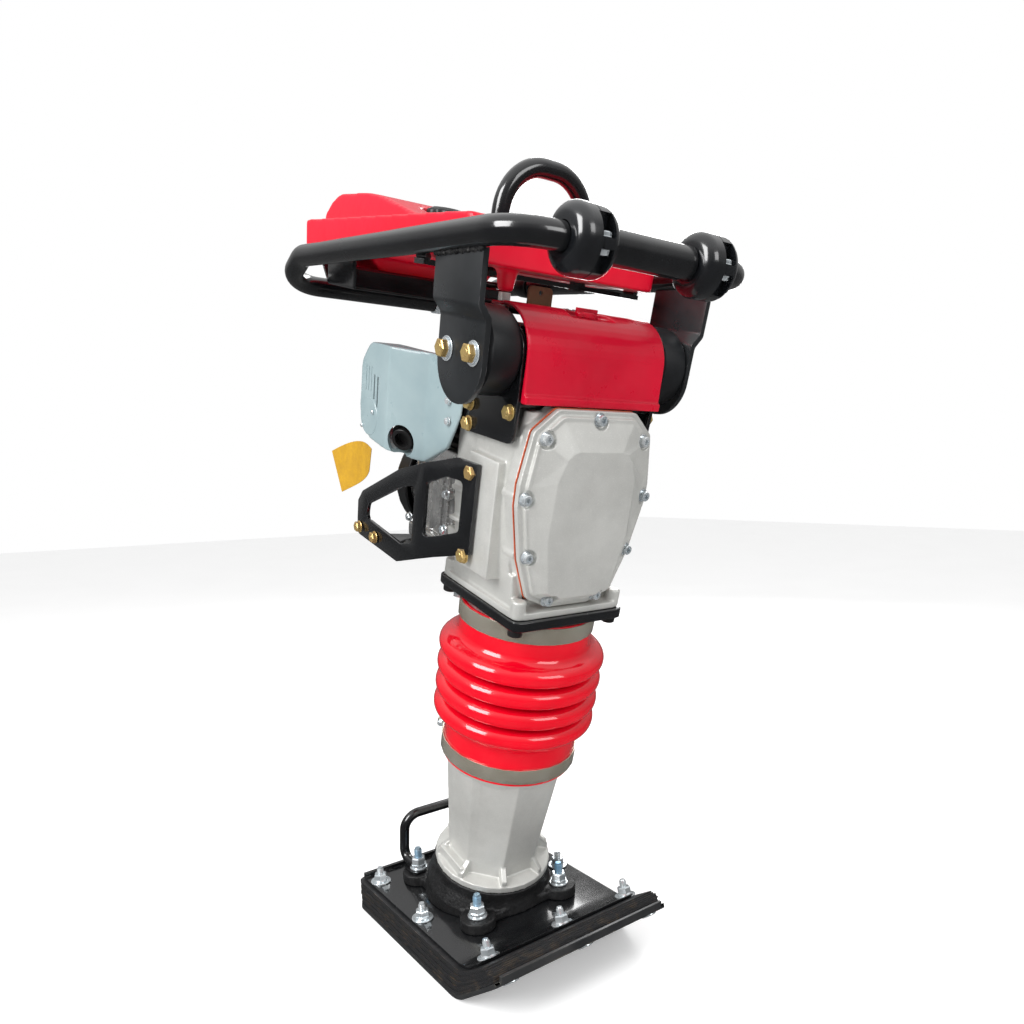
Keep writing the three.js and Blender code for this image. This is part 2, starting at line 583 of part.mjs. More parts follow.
function recoilHousing() {
  const shell = turned([[0, 0], [24, 0], [62, -8], [72, -16], [72, -42], [68, -42], [68, -18], [60, -12],
    [24, -4], [0, -4]].map(([r, z]) => [r, z + 250]).reverse(), 28);
  const upright = alongY(shell).translate(0, 0, SHAFT_W);
  return upright;
}
function pullHandle() {
  const bar = sweep([new THREE.Vector3(-58, 262, 618), new THREE.Vector3(-10, 262, 638)], 6, 10);
  const stem = cylY(4, 250, 258, -34, 628, 10);
  return join(bar, cylY(5, 252, 262, -34, 628, 10));
}
function sparkPlug() {
  return join(cylY(8, 96, 111.6, 0, 690, 14), cylY(11, 84, 104, 0, 690, 14), cylZ(5, 690, 714, 0, 92, 10));
}
function engineGuard() {
  const plan = [[-97, -10], [-103, -10], [-131, 62], [-131, 226], [-126, 226], [-126, 63], [-98, -8]];
  const strip = prismZ([[-97.5, -8], [-102.5, -8], [-130, 62], [-130, 226], [-125.5, 226], [-125.5, 63]],
    480, 680);
  const side = prismX(rounded([[-14, 640], [18, 642], [118, 604], [214, 552], [228, 534], [224, 492],
    [110, 491], [40, 520], [-14, 540]], [6, 6, 10, 10, 6, 8, 10, 10, 6], 3), -140, -90);
  const windowSide = [[8, 618], [30, 618], [56, 604], [56, 540], [34, 548], [8, 560]];
  const holeA = prismX(rounded(windowSide, 6, 3), -150, -80);
  const holeB = prismX(rounded([[76, 596], [112, 584], [196, 540], [200, 520], [104, 516], [76, 526]], 8, 3),
    -150, -80);
  const shelf = prismZ([[-128, 150], [-128, 208], [-44, 190], [-44, 150]], 491, 496);
  return join(cut(common(strip, side), holeA, holeB), shelf);
}

// ---- mount frame and air filter --------------------------------------------
function mountFrame() {
  const outline = rounded([[-56, 672], [50, 668], [52, 706], [26, 716], [26, 774], [-16, 800], [-57, 774],
    [-58, 716]], [10, 10, 10, 8, 26, 20, 26, 8], 3);
  const right = prismX(outline, 91, 95.5);
  const left = prismX(outline, -95.5, -91);
  const deck = box(-93, 93, -48, 40, CASE.top + 1, CASE.top + 6);
  return join(right, left, deck);
}
function rubberMount(side) {
  const { r, x0, x1, u, w } = MOUNT;
  const puck = alongX(turned([[0, x0], [r - 4, x0], [r, x0 + 4], [r, x1 - 4], [r - 4, x1], [0, x1]], 32));
  const placed = puck.translate(0, u, w);
  return side > 0 ? placed : placed.applyMatrix4(new THREE.Matrix4().makeRotationZ(Math.PI))
    .translate(0, 2 * u, 0);
}
function airHousing() {
  const shell = prismX(rounded([[-30, 716], [56, 716], [56, 784], [-30, 784]], 8, 3), -86, 86);
  const hollow = prismX(rounded([[-60, 719.5], [52, 719.5], [52, 780.5], [-60, 780.5]], 6, 3), -82, 82);
  return cut(shell, hollow, cylY(11, 40, 80, 60, 752, 18));
}
function filterElement() {
  return cylX(26, -70, 50, 8, 751, 24, 16);
}
function coverSection(r, lip) {
  const { u, w } = MOUNT;
  const arc = circle(u, w, r, 12, Math.PI * 0.42, Math.PI * 0.58);
  return [[u + 28, w + r - 2], ...arc, [u - r - lip, 714.5]];
}
function filterCover() {
  const outer = coverSection(48, 2);
  const inner = coverSection(44.4, -1).reverse();
  const skin = prismX([...outer, ...inner], -94, 94);
  const lip = box(-94, 94, -69, -60, 714.5, 723);
  return cut(join(skin, lip), cylZ(9, 780, 830, 0, -30, 18));
}
function coverLatch() {
  return join(cylZ(7.8, 797, 807, 0, -30, 16), box(-14, 14, -34.5, -25.5, 805.6, 811));
}

// ---- handle, tank and controls -----------------------------------------------
// Height of a side tube's axis at u, and the straight of that tube between two stations.
function sideTubeW(u) {
  const { frontU, frontW, bendU, bendW } = HANDLE;
  return frontW - 3 + (bendW - frontW + 3) * (u - frontU) / (bendU - frontU);
}
function sideTube(side, from, to, grow, sides) {
  const end = (u) => new THREE.Vector3(side * HANDLE.x, u, sideTubeW(u));
  return sweep([end(from), end(to)], HANDLE.tube + grow, sides);
}
function handleLoop() {
  const { x, tube, frontU, frontW, rearU, rearW, bendU, bendW } = HANDLE;
  const corners = [[-x, frontU, frontW - 3], [-x, bendU, bendW], [-x + 6, rearU, rearW],
    [x - 6, rearU, rearW], [x, bendU, bendW], [x, frontU, frontW - 3]];
  const v = corners.map((p) => new THREE.Vector3(...p));
  const radii = [44, 60, 48, 48, 60, 44];
  const points = [];
  v.forEach((p, i) => {
    const a = v[(i + v.length - 1) % v.length];
    const b = v[(i + 1) % v.length];
    points.push(...bend3(a, p, b, radii[i], i === 1 || i === 4 ? 2 : 5));
  });
  return sweep(points, tube, 12, true);
}
function bracket(side) {
  const { x, t } = BRACKET;
  const section = [[x, 700], [x, 788], [x + 10, 800], [x + 10, 845], [x + 16, 845], [x + 16, 797],
    [x + 6, 785], [x + 6, 700]].map(([a, w]) => [side * a, w]);
  const strip = prismY(side > 0 ? section.reverse() : section, -100, 60);
  const face = prismX(rounded([[-58, 845], [27, 845], [27, 770], [28, 722], [-12, 704], [-46, 722],
    [-57, 770]], [0, 0, 30, 24, 26, 20, 30], 3), side * 160, side * 130);
  return cut(common(strip, face), sideTube(side, -60, 60, GAP, 16));
}
function liftingArch() {
  const u = 68;
  const legs = bent([[-59, u, 824], [-55, u, 934], [55, u, 934], [59, u, 824]], 50, 6);
  const strap = box(-148, 148, u - 10, u + 10, 825, 830);
  const lugs = [-1, 1].map((s) => box(s * 138, s * 148, u - 10, u + 10, 828, 842));
  return cut(join(sweep(legs, 9.5, 10), strap, ...lugs), sideTube(-1, 0, 140, GAP, 16),
    sideTube(1, 0, 140, GAP, 16));
}
function rollerSleeve() {
  return cylX(16, -55, 55, HANDLE.frontU, HANDLE.frontW - 3, 20, HANDLE.tube + GAP);
}
function roller(side) {
  const { x, half, r } = ROLLER;
  const bore = HANDLE.tube + 0.8;
  const profile = [[bore, -half], [r - 10, -half], [r - 3, -half + 4], [r, -half + 10], [r, half - 10],
    [r - 3, half - 4], [r - 10, half], [bore, half]];
  return alongX(turned(profile, 20)).translate(side * x, HANDLE.frontU, HANDLE.frontW - 3);
}
function fuelTank() {
  const { x, rear } = TANK;
  const slabSide = [[0, 834], [rear, 824], [rear, 852], [rear - 6, 858], [14, 877], [0, 866]];
  const slab = prismX(slabSide, -x, x);
  const plan = prismZ(rounded([[-x, 0], [x, 0], [x, rear], [-x, rear]], [24, 24, 10, 10], 3), 760, 960);
  const body = common(slab, plan);
  const outlet = turned([[0, 812], [8, 812], [13, 840], [0, 840]], 14).translate(-66, 30, 0);
  const sump = taperedBlock([[-70, 304, 800], [70, 304, 800], [70, 364, 800], [-70, 364, 800]],
    [[-100, 297, 840], [100, 297, 840], [100, 380, 836], [-100, 380, 836]]);
  const slot = prismZ(rounded([[-74, 54], [74, 54], [74, 84], [-74, 84]], 12, 3), 780, 960);
  return cut(join(body, tankDome(), outlet, sump), slot);
}
// The hump at the rear of the tank, with the recess and the collar of the filler.
function tankDome() {
  const side = rounded([[130, 850], [130, 866], [286, 895], [404, 892], [428, 868], [428, 850]],
    [0, 0, 90, 26, 8, 0], 3);
  const plan = taperedBlock([[-104, 120, 845], [104, 120, 845], [104, 440, 845], [-104, 440, 845]],
    [[-94, 120, 905], [94, 120, 905], [94, 440, 905], [-94, 440, 905]]);
  const { x, u, seat, recess, collar } = FILLER;
  const hole = cylZ(recess, seat - 6, 960, x, u, 24);
  return join(cut(common(prismX(side, -110, 110), plan), hole), cylZ(collar, 850, seat, x, u, 20));
}
// Frustum between a lower and an upper four-cornered face.
function taperedBlock(low, high) {
  const position = [...low, ...high].flat();
  const geometry = new THREE.BufferGeometry();
  geometry.setAttribute('position', new THREE.Float32BufferAttribute(position, 3));
  geometry.setIndex([0, 2, 1, 0, 3, 2, 4, 5, 6, 4, 6, 7, 0, 1, 5, 0, 5, 4, 1, 2, 6, 1, 6, 5,
    2, 3, 7, 2, 7, 6, 3, 0, 4, 3, 4, 7]);
  return geometry;
}
function fillerCap() {
  const { x, u, seat } = FILLER;
  const grips = Array.from({ length: 24 }, (_, i) => {
    const a = i * Math.PI / 12;
    const r = i % 2 ? 23 : 25;
    return [r * Math.cos(a) + x, r * Math.sin(a) + u];
  });
  return join(prismZ(grips, seat + GAP, seat + 11), cylZ(20, seat + 10, seat + 14, x, u, 20));
}
function tankTray() {
  const plate = box(-118, 118, 288, 372, 786, 790);
  const rear = taperedBlock([[-118, 368, 786], [118, 368, 786], [118, 372, 786], [-118, 372, 786]],
    [[-118, 398, 818], [118, 398, 818], [118, 402, 818], [-118, 402, 818]]);
  const sides = [-1, 1].map((s) => box(s * 118, s * 114, 288, 372, 786, 820));
  const front = box(-118, 118, 288, 292, 786, 812);
  return join(plate, rear, front, ...sides);
}
function fuelTap() {
  return join(cylZ(6.5, 790, 811.5, -66, 30, 14), box(-92, -66, 26, 34, 791, 796));
}
function throttleLever() {
  const hub = cylX(11, 168, 176, 300, 834, 18);
  const arm = prismX(rounded([[294, 828], [306, 824], [346, 862], [340, 872]], 4, 2), 169, 173);
  return join(hub, arm);
}
function throttleClamp() {
  const w = sideTubeW(300);
  const ring = cylY(15.5, 288, 312, HANDLE.x, w, 20);
  const pad = box(163, 167.5, 290, 310, w, w + 22);
  return cut(join(ring, pad), sideTube(1, 200, 372, GAP, 16));
}
function throttleCable() {
  const path = bent([[156, 284, 802], [134, 250, 797], [132, 60, 797], [116, 52, 797], [-96, 48, 799],
    [-96, 20, 801], [-50, 20, 802], [6, 24, 792], [76, 50, 793], [88, 86, 786], [92, 124, 700]],
  [20, 12, 12, 13, 13, 20, 20, 14, 20], 3);
  return sweep(path, 2.2, 4);
}
function tag() {
  const outline = [[262, 612], [340, 574], [302, 526], [236, 566], [214, 600]];
  return prismX(outline, -115, -113.6);
}

// ---- assembly ---------------------------------------------------------------
add('sole_plate', solePlate(), 'steel');
add('shoe_block', shoeBlock(), 'wood');
add('shoe_top_plate', shoeTop(), 'black');
add('foot_casting', footCasting(), 'castIron');
add('foot_handle', footHandle(), 'black');
addBody('foot_cylinder', footCylinder(), 'silver');
addBody('spring_cylinder', springCylinder(), 'steel');
addBody('lower_spring', coil(72, 240, 5), 'steel');
addBody('upper_spring', coil(271, 420, 5), 'steel');
addBody('lower_clamp', clampBand(CLAMP.lowR, BELLOWS.lower, 0.6), 'inox');
addBody('bellows', bellows(), 'redRubber');
addBody('upper_clamp', clampBand(CLAMP.upR, BELLOWS.upper - 22, 0.6), 'inox');
addBody('guide_cylinder', guideCylinder(), 'steel');
addBody('flange_plate', prismZ(rounded([[-PLATE.x - 3, -PLATE.u - 3], [PLATE.x + 3, -PLATE.u - 3],
  [PLATE.x + 3, PLATE.u + 3], [-PLATE.x - 3, PLATE.u + 3]], 14, 3), PLATE.w0, PLATE.w1,
[circle(0, 0, GUIDE.inner, 28)]), 'black');
addBody('crankcase', crankcase(), 'silver');
addBody('cover_gasket', gasket(), 'orange');
addBody('gearcase_cover', gearcaseCover(), 'silver');
addBody('main_bearing', cylY(30, 26, 42, 0, GEAR.w, 24, 16.4), 'steel');
addBody('crank_gear', crankGear(), 'steel');
addBody('connecting_rod', connectingRod(), 'steel');
addBody('piston_rod', pistonRod(), 'steel');
addBody('pinion_drum', pinionDrum(), 'steel');
addBody('clutch_housing', clutchHousing(), 'silver');
addBody('engine_shaft', engineShaft(), 'steel');
addBody('engine_block', engineBlock(), 'silver');
addBody('cylinder_fins', cylinderFins(), 'black');
addBody('rocker_cover', rockerCover(), 'silver');
addBody('spark_plug', sparkPlug(), 'rubber');
addBody('muffler', mufflerBody(), 'black');
addBody('muffler_cover', mufflerCover(), 'greyBlue');
addBody('carburettor', carburettor(), 'silver');
addBody('intake_elbow', intakeElbow(), 'rubber');
addBody('recoil_housing', recoilHousing(), 'plastic');
addBody('pull_handle', pullHandle(), 'plastic');
addBody('engine_guard', engineGuard(), 'black');
addBody('mount_frame', mountFrame(), 'black');
addBody('rubber_mount_left', rubberMount(-1), 'rubber');
addBody('rubber_mount_right', rubberMount(1), 'rubber');
addBody('air_housing', airHousing(), 'plastic');
addBody('filter_element', filterElement(), 'paper');
addBody('filter_cover', filterCover(), 'red');
addBody('cover_latch', coverLatch(), 'red');
addBody('bracket_left', bracket(-1), 'black');
addBody('bracket_right', bracket(1), 'black');
addBody('handle_loop', handleLoop(), 'black');
addBody('lifting_arch', liftingArch(), 'black');
addBody('roller_sleeve', rollerSleeve(), 'black');
addBody('roller_left', roller(-1), 'plastic');
addBody('roller_right', roller(1), 'plastic');
addBody('fuel_tank', fuelTank(), 'red');
addBody('filler_cap', fillerCap(), 'plastic');
addBody('tank_tray', tankTray(), 'black');
addBody('fuel_tap', fuelTap(), 'silver');
addBody('throttle_clamp', throttleClamp(), 'plastic');
addBody('throttle_lever', throttleLever(), 'plastic');
addBody('throttle_cable', throttleCable(), 'rubber');
addBody('yellow_tag', tag(), 'yellow');

export default assembly;
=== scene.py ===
"""Looks of the jumping jack rammer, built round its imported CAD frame.

Shapes are drawn in millimetres, either upright (the shoe) or in the leaning frame of the machine:
x across, u rearward and w up the axis. They become metres in the row frame when a piece is made.
"""
import json
from math import atan2, cos, hypot, pi, radians, sin, sqrt, tan, tau

import bmesh
import bpy
from mathutils import Matrix, Vector


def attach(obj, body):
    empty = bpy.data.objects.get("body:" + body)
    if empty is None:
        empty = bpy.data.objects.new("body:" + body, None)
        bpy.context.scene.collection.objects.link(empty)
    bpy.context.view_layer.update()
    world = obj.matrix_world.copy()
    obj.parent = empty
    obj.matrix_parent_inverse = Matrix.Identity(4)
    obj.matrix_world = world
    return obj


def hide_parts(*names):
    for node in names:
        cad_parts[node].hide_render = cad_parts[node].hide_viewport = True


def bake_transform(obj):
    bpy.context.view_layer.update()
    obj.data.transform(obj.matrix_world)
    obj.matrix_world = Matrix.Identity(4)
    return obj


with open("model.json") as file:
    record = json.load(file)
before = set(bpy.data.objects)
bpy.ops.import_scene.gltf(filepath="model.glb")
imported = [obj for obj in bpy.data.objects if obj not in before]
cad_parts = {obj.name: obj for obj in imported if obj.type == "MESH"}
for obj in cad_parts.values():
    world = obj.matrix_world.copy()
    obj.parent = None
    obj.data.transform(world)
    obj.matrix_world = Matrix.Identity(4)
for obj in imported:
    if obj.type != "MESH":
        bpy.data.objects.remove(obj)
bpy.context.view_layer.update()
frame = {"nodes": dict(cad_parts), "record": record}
RECORD = frame["record"]
BODY = {node: body for body, nodes in RECORD["behaviour"]["bodies"].items() for node in nodes}
SLOT = {part["node"]: part["material_slot"] for part in RECORD["subparts"]}

# ---- driving dimensions, in millimetres and degrees ----
MM = 0.001
LEAN = radians(15.34)
AXIS_Y = -69.5
SHOE_TOP = 52.1
UPRIGHT = Matrix.Scale(MM, 4)
LEANING = UPRIGHT @ Matrix.Translation((0, AXIS_Y, SHOE_TOP)) @ Matrix.Rotation(LEAN, 4, "X")
HERE = Matrix.Identity(4)

SHOE_WIDTH, SHOE_HEEL, BLOCK_TOP = 285, 85.3, 47.7
SOLE_KNEE, SOLE_TIP = (-212, 0), (-299.5, 66.8)
TOP_KNEE, TOP_TIP = (-222, 47.7), (-287, 90.7)
SOLE_T, PLATE_FACE = 6, 4.4
STUD_X, STUD_Y = 71, 84
NECK_LOW, NECK_HIGH = 89.7, 84.4
WAVE_R, VALLEY_R, WAVE_PITCH, FIRST_WAVE, WAVES = 107, 89, 29, 318, 4
BELLOWS_LOW, BELLOWS_HIGH, BELLOWS_WALL = 250, 467, 4
COIL_R, WIRE_R = 37, 5.5
HANDLE_X, TUBE_R = 152, 12.5
FRONT_U, FRONT_W = -105, 863
BEND_U, BEND_W = 372, 814
REAR_U, REAR_W = 441, 778
ROLLER_X, ROLLER_HALF, ROLLER_R = 80, 24, 30.5
ARCH_U = 68
CAP_X, CAP_U, CAP_W = -34, 218, 876.4
MOUNT_U, MOUNT_W = -16, 757
PLATE_LOW = 470
COVER_SIDE = [(30, 492), (62, 505), (80, 552), (92, 612), (92, 636), (82, 690), (54, 713)]
COVER_BACK, COVER_FRONT, COVER_MIDDLE = -68, -88, 605
SHIELD_FACE = -134
TOE_NUTS = (-108, 11, 127)
AMBIENT = 0.72
LEFT, AHEAD = (-1, 0, 0), (0, -1, 0)

# ---- camera, light and floor ----
def camera():
    data = bpy.data.cameras.new("camera")
    data.sensor_width = 36
    data.lens = 27.163
    data.shift_x, data.shift_y = -0.03759, 0.14813
    data.clip_end = 60
    turn = (Matrix.Rotation(radians(-37.443), 4, "Z")
            @ Matrix.Rotation(radians(-13.383), 4, "X")
            @ Matrix.Rotation(radians(1.031), 4, "Y"))
    right, forward, up = (turn.col[i].xyz for i in range(3))
    eye = bpy.data.objects.new("camera", data)
    basis = Matrix((right, up, -forward)).transposed().to_4x4()
    eye.matrix_world = Matrix.Translation((-0.56748, -0.97726, 0.65033)) @ basis
    bpy.context.scene.collection.objects.link(eye)
    bpy.context.scene.camera = eye


def area_light(name, place, target, size, power, colour=(1, 1, 1)):
    data = bpy.data.lights.new(name, "AREA")
    data.shape = "RECTANGLE"
    data.size, data.size_y = size
    data.energy = power
    data.color = colour
    lamp = bpy.data.objects.new(name, data)
    lamp.location = place
    lamp.rotation_euler = (Vector(target) - Vector(place)).to_track_quat("-Z", "Y").to_euler()
    bpy.context.scene.collection.objects.link(lamp)


def studio():
    """White backdrop, even fill light, and reflections that are bright above and dark below."""
    world = bpy.data.worlds.new("studio")
    tree = Tree(world)
    height = tree.wire("SeparateXYZ", {0: tree.wire("TexCoord", {}, "Generated")}, "Z")
    sky = tree.wire("ValToRGB", {"Fac": height}, "Color")
    stops = sky.node.color_ramp.elements
    stops[0].position, stops[0].color = 0.0, (0.1, 0.1, 0.1, 1)
    stops[1].position, stops[1].color = 0.95, (1.0, 1.0, 1.0, 1)
    for place, level in ((0.12, 0.2), (0.3, 0.3), (0.5, 0.4), (0.72, 0.85)):
        stops.new(place).color = (level, level, level, 1)
    plain = tree.wire("Mix", {0: tree.wire("LightPath", {}, "Is Camera Ray"), 2: AMBIENT, 3: 1})
    light = tree.wire("Mix", {0: tree.wire("LightPath", {}, "Is Glossy Ray"), 2: plain, 3: sky})
    backdrop = tree.nodes["Background"].inputs
    tree.feed(backdrop["Color"], (1, 1, 1, 1))
    tree.feed(backdrop["Strength"], light)
    bpy.context.scene.world = world
    bpy.context.scene.view_settings.view_transform = "Standard"
    middle = (0, -0.1, 0.5)
    area_light("key", (-2.3, -0.6, 2.0), middle, (1.3, 1.6), 78)
    area_light("front", (0.5, -2.6, 1.7), middle, (1.4, 1.0), 20)
    area_light("rim", (1.9, 1.5, 1.8), middle, (1.0, 1.6), 30)


# ---- node materials ----
def linear(red, green, blue):
    """Linear colour of an sRGB triple of 0 to 255."""
    def one(v):
        v /= 255
        return v / 12.92 if v <= 0.04045 else ((v + 0.055) / 1.055) ** 2.4
    return (one(red), one(green), one(blue), 1)


class Tree:
    """Short calls for the nodes of a world or a material."""

    def __init__(self, owner):
        owner.use_nodes = True
        self.nodes, self.links = owner.node_tree.nodes, owner.node_tree.links

    def feed(self, socket, value):
        if isinstance(value, bpy.types.NodeSocket):
            self.links.new(value, socket)
        else:
            socket.default_value = value

    def wire(self, kind, inputs, output=0, **settings):
        """Makes a node, feeds its inputs and gives one of its outputs."""
        made = self.nodes.new("ShaderNode" + kind)
        for key, value in settings.items():
            setattr(made, key, value)
        for key, value in inputs.items():
            self.feed(made.inputs[key], value)
        return made.outputs[output]


class Nodes(Tree):
    """One material, with its pattern nodes placed by object coordinates."""

    def __init__(self, name):
        self.material = bpy.data.materials.new(name)
        super().__init__(self.material)
        self.shader = self.nodes["Principled BSDF"].inputs
        self.place = self.wire("TexCoord", {}, "Object")

    def noise(self, scale, detail=4, rough=0.55, stretch=None):
        place = self.place
        if stretch:
            place = self.wire("Mapping", {"Vector": place, "Scale": stretch})
        return self.wire("TexNoise", {"Vector": place, "Scale": scale, "Detail": detail,
                                      "Roughness": rough}, "Fac")

    def cells(self, scale):
        return self.wire("TexVoronoi", {"Vector": self.place, "Scale": scale}, "Distance")

    def ramp(self, value, low, high, to_low=0, to_high=1):
        return self.wire("MapRange", {"Value": value, "From Min": low, "From Max": high,
                                      "To Min": to_low, "To Max": to_high}, "Result")

    def mix(self, factor, first, second):
        """Blend of two colours, each a socket or an sRGB triple."""
        first, second = (linear(*c) if isinstance(c, tuple) else c for c in (first, second))
        return self.wire("Mix", {0: factor, 6: first, 7: second}, 2, data_type="RGBA")

    def times(self, first, second):
        return self.wire("Math", {0: first, 1: second}, operation="MULTIPLY")

    def plus(self, first, second):
        return self.wire("Math", {0: first, 1: second}, operation="ADD")

    def edges(self, radius):
        """1 on edges and 0 on faces, from how far a rounded normal turns from the true one."""
        rounded = self.wire("Bevel", {"Radius": radius}, "Normal", samples=4)
        true = self.wire("NewGeometry", {}, "Normal")
        dot = self.wire("VectorMath", {0: rounded, 1: true}, "Value", operation="DOT_PRODUCT")
        return self.ramp(dot, 0.985, 0.9)

    def bump(self, height, strength, distance):
        self.feed(self.shader["Normal"], self.wire(
            "Bump", {"Height": height, "Strength": strength, "Distance": distance}, "Normal"))

    def finish(self, colour, roughness, **fixed):
        self.feed(self.shader["Base Color"], colour)
        self.feed(self.shader["Roughness"], roughness)
        for key, value in fixed.items():
            self.feed(self.shader[key.replace("_", " ")], value)
        return self.material


def coated(n, colour, shade, rough, wear=None, grain=900, dent=0.05, **fixed):
    """Paint or plastic: soft colour drift, fine orange peel, scuffed roughness and worn edges."""
    paint = n.mix(n.ramp(n.noise(14, 5), 0.35, 0.7), colour, shade)
    if wear:
        patchy = n.ramp(n.noise(60, 6, 0.7), 0.5, 0.62)
        paint = n.mix(n.times(n.edges(0.0012), patchy), paint, wear)
    n.bump(n.noise(grain, 3), dent, 0.0004)
    roughness = n.ramp(n.noise(35, 5), 0.3, 0.75, rough - 0.05, rough + 0.1)
    return n.finish(paint, roughness, **fixed)


def metal(n, colour, shade, rough, grain=700, dent=0.08, stretch=None, metallic=0.7):
    """Bare or plated metal: cloudy colour, fine grain and brighter edges."""
    tone = n.mix(n.ramp(n.noise(22, 6, 0.6), 0.35, 0.7), colour, shade)
    bright = [min(1, c * 1.25) for c in linear(*colour)]
    tone = n.mix(n.times(n.edges(0.0008), 0.6), tone, bright)
    streaks = n.noise(120, 4, 0.6, stretch)
    n.bump(n.noise(grain, 4, 0.6, stretch), dent, 0.0003)
    roughness = n.ramp(streaks, 0.3, 0.75, rough - 0.06, rough + 0.12)
    return n.finish(tone, roughness, Metallic=metallic)


def red_skin(n, first, second, rough, coat, peel):
    """Crimson moulded skin, glossy, with a long soft ripple."""
    tone = n.mix(n.ramp(n.noise(11, 4), 0.3, 0.75), first, second)
    n.bump(n.plus(n.times(n.noise(700, 3), 0.3), n.noise(60, 3)), peel, 0.0006)
    roughness = n.ramp(n.noise(40, 5), 0.3, 0.75, rough - 0.05, rough + 0.09)
    return n.finish(tone, roughness, Coat_Weight=coat, Coat_Roughness=0.05, Specular_IOR_Level=0.3)


def cast_aluminium(n):
    """Sand-blasted die casting with faint flow marks and darker patches of dirt."""
    tone = n.mix(n.ramp(n.noise(9, 7, 0.65), 0.35, 0.7), (206, 206, 202), (184, 184, 180))
    speck = n.ramp(n.noise(900, 2), 0.56, 0.72)
    tone = n.mix(n.times(speck, 0.35), tone, (232, 231, 226))
    dirt = n.ramp(n.noise(48, 8, 0.75), 0.66, 0.8)
    tone = n.mix(n.times(dirt, 0.3), tone, (120, 112, 98))
    n.bump(n.plus(n.times(n.noise(1300, 3), 0.35), n.noise(170, 4)), 0.16, 0.0005)
    return n.finish(tone, n.ramp(n.noise(60, 5), 0.3, 0.75, 0.4, 0.56), Metallic=0.5)


def polished_casting(n):
    """Shiny die casting of the engine, with ripples left by the mould."""
    tone = n.mix(n.ramp(n.noise(40, 6), 0.35, 0.7), (196, 196, 194), (150, 150, 150))
    n.bump(n.noise(120, 5, 0.6), 0.25, 0.0012)
    return n.finish(tone, n.ramp(n.noise(90, 4), 0.3, 0.7, 0.16, 0.32), Metallic=0.7)


def black_casting(n):
    """Coarse sand casting under thin black paint."""
    tone = n.mix(n.ramp(n.noise(70, 6), 0.35, 0.7), (12, 12, 13), (26, 26, 27))
    worn = n.times(n.edges(0.002), n.ramp(n.noise(90, 6, 0.7), 0.48, 0.6))
    tone = n.mix(n.times(worn, 0.6), tone, (105, 104, 102))
    n.bump(n.plus(n.noise(420, 6, 0.7), n.times(n.cells(260), 0.6)), 0.55, 0.0016)
    return n.finish(tone, n.ramp(n.noise(200, 4), 0.3, 0.7, 0.34, 0.6))


def laminated_wood(n):
    """Pressed beech plies painted black, rubbed brown along the edges."""
    grain = n.noise(26, 6, 0.65, (1, 9, 60))
    tone = n.mix(n.ramp(grain, 0.35, 0.68), (17, 18, 21), (46, 46, 47))
    scuffs = n.ramp(n.noise(34, 8, 0.75, (1, 1, 3)), 0.62, 0.72)
    tone = n.mix(n.times(scuffs, 0.4), tone, (112, 104, 92))
    worn = n.times(n.edges(0.0016), n.ramp(n.noise(50, 6, 0.7), 0.5, 0.62))
    tone = n.mix(n.times(worn, 0.35), tone, (140, 116, 84))
    n.bump(n.noise(60, 6, 0.7, (1, 8, 60)), 0.5, 0.0009)
    return n.finish(tone, n.ramp(grain, 0.3, 0.7, 0.3, 0.5))


def paper(n):
    """Pleated filter paper."""
    tone = n.mix(n.ramp(n.noise(300, 5), 0.3, 0.7), (214, 198, 160), (188, 170, 130))
    n.bump(n.noise(180, 4, 0.6, (1, 30, 1)), 0.6, 0.001)
    return n.finish(tone, n.ramp(n.noise(100, 3), 0.3, 0.7, 0.75, 0.95))


def yellow_card(n):
    """Worn card of the hanging tag."""
    tone = n.mix(n.ramp(n.noise(60, 7, 0.7), 0.3, 0.75), (186, 142, 12), (160, 118, 8))
    n.bump(n.noise(800, 4), 0.15, 0.0003)
    return n.finish(tone, n.ramp(n.noise(120, 3), 0.3, 0.7, 0.5, 0.68))


# Each look is two sRGB colours, a roughness and what else its maker takes.
COATS = {
    "sole_steel": ((40, 42, 44), (62, 62, 62), 0.36,
                   dict(wear=(120, 116, 108), dent=0.12, Metallic=0.35)),
    "black_paint": ((9, 10, 12), (19, 20, 22), 0.2,
                    dict(wear=(86, 86, 88), dent=0.012, Coat_Weight=0.8, Coat_Roughness=0.09)),
    "satin_black": ((24, 26, 28), (36, 38, 40), 0.3,
                    dict(wear=(90, 90, 92), dent=0.06, Coat_Weight=0.3, Coat_Roughness=0.2)),
    "black_fins": ((14, 14, 15), (28, 27, 27), 0.42, dict(grain=400, dent=0.2)),
    "black_rubber": ((13, 15, 18), (24, 27, 31), 0.44,
                     dict(grain=500, dent=0.1, Coat_Weight=0.15, Coat_Roughness=0.3)),
    "black_plastic": ((11, 12, 13), (22, 23, 25), 0.36, dict(grain=420, dent=0.12)),
    "roller_plastic": ((10, 11, 13), (20, 22, 25), 0.2,
                       dict(grain=300, Coat_Weight=0.7, Coat_Roughness=0.1)),
    "blue_grey_plastic": ((138, 154, 157), (124, 142, 146), 0.3,
                          dict(grain=600, dent=0.06, Coat_Weight=0.25, Coat_Roughness=0.2)),
    "gasket": ((196, 92, 54), (160, 70, 42), 0.75, dict(grain=500, dent=0.3)),
    "black_cable": ((12, 12, 14), (24, 24, 26), 0.4, {}),
    "bronze_paint": ((136, 104, 78), (112, 84, 62), 0.4, dict(Metallic=0.4)),
}
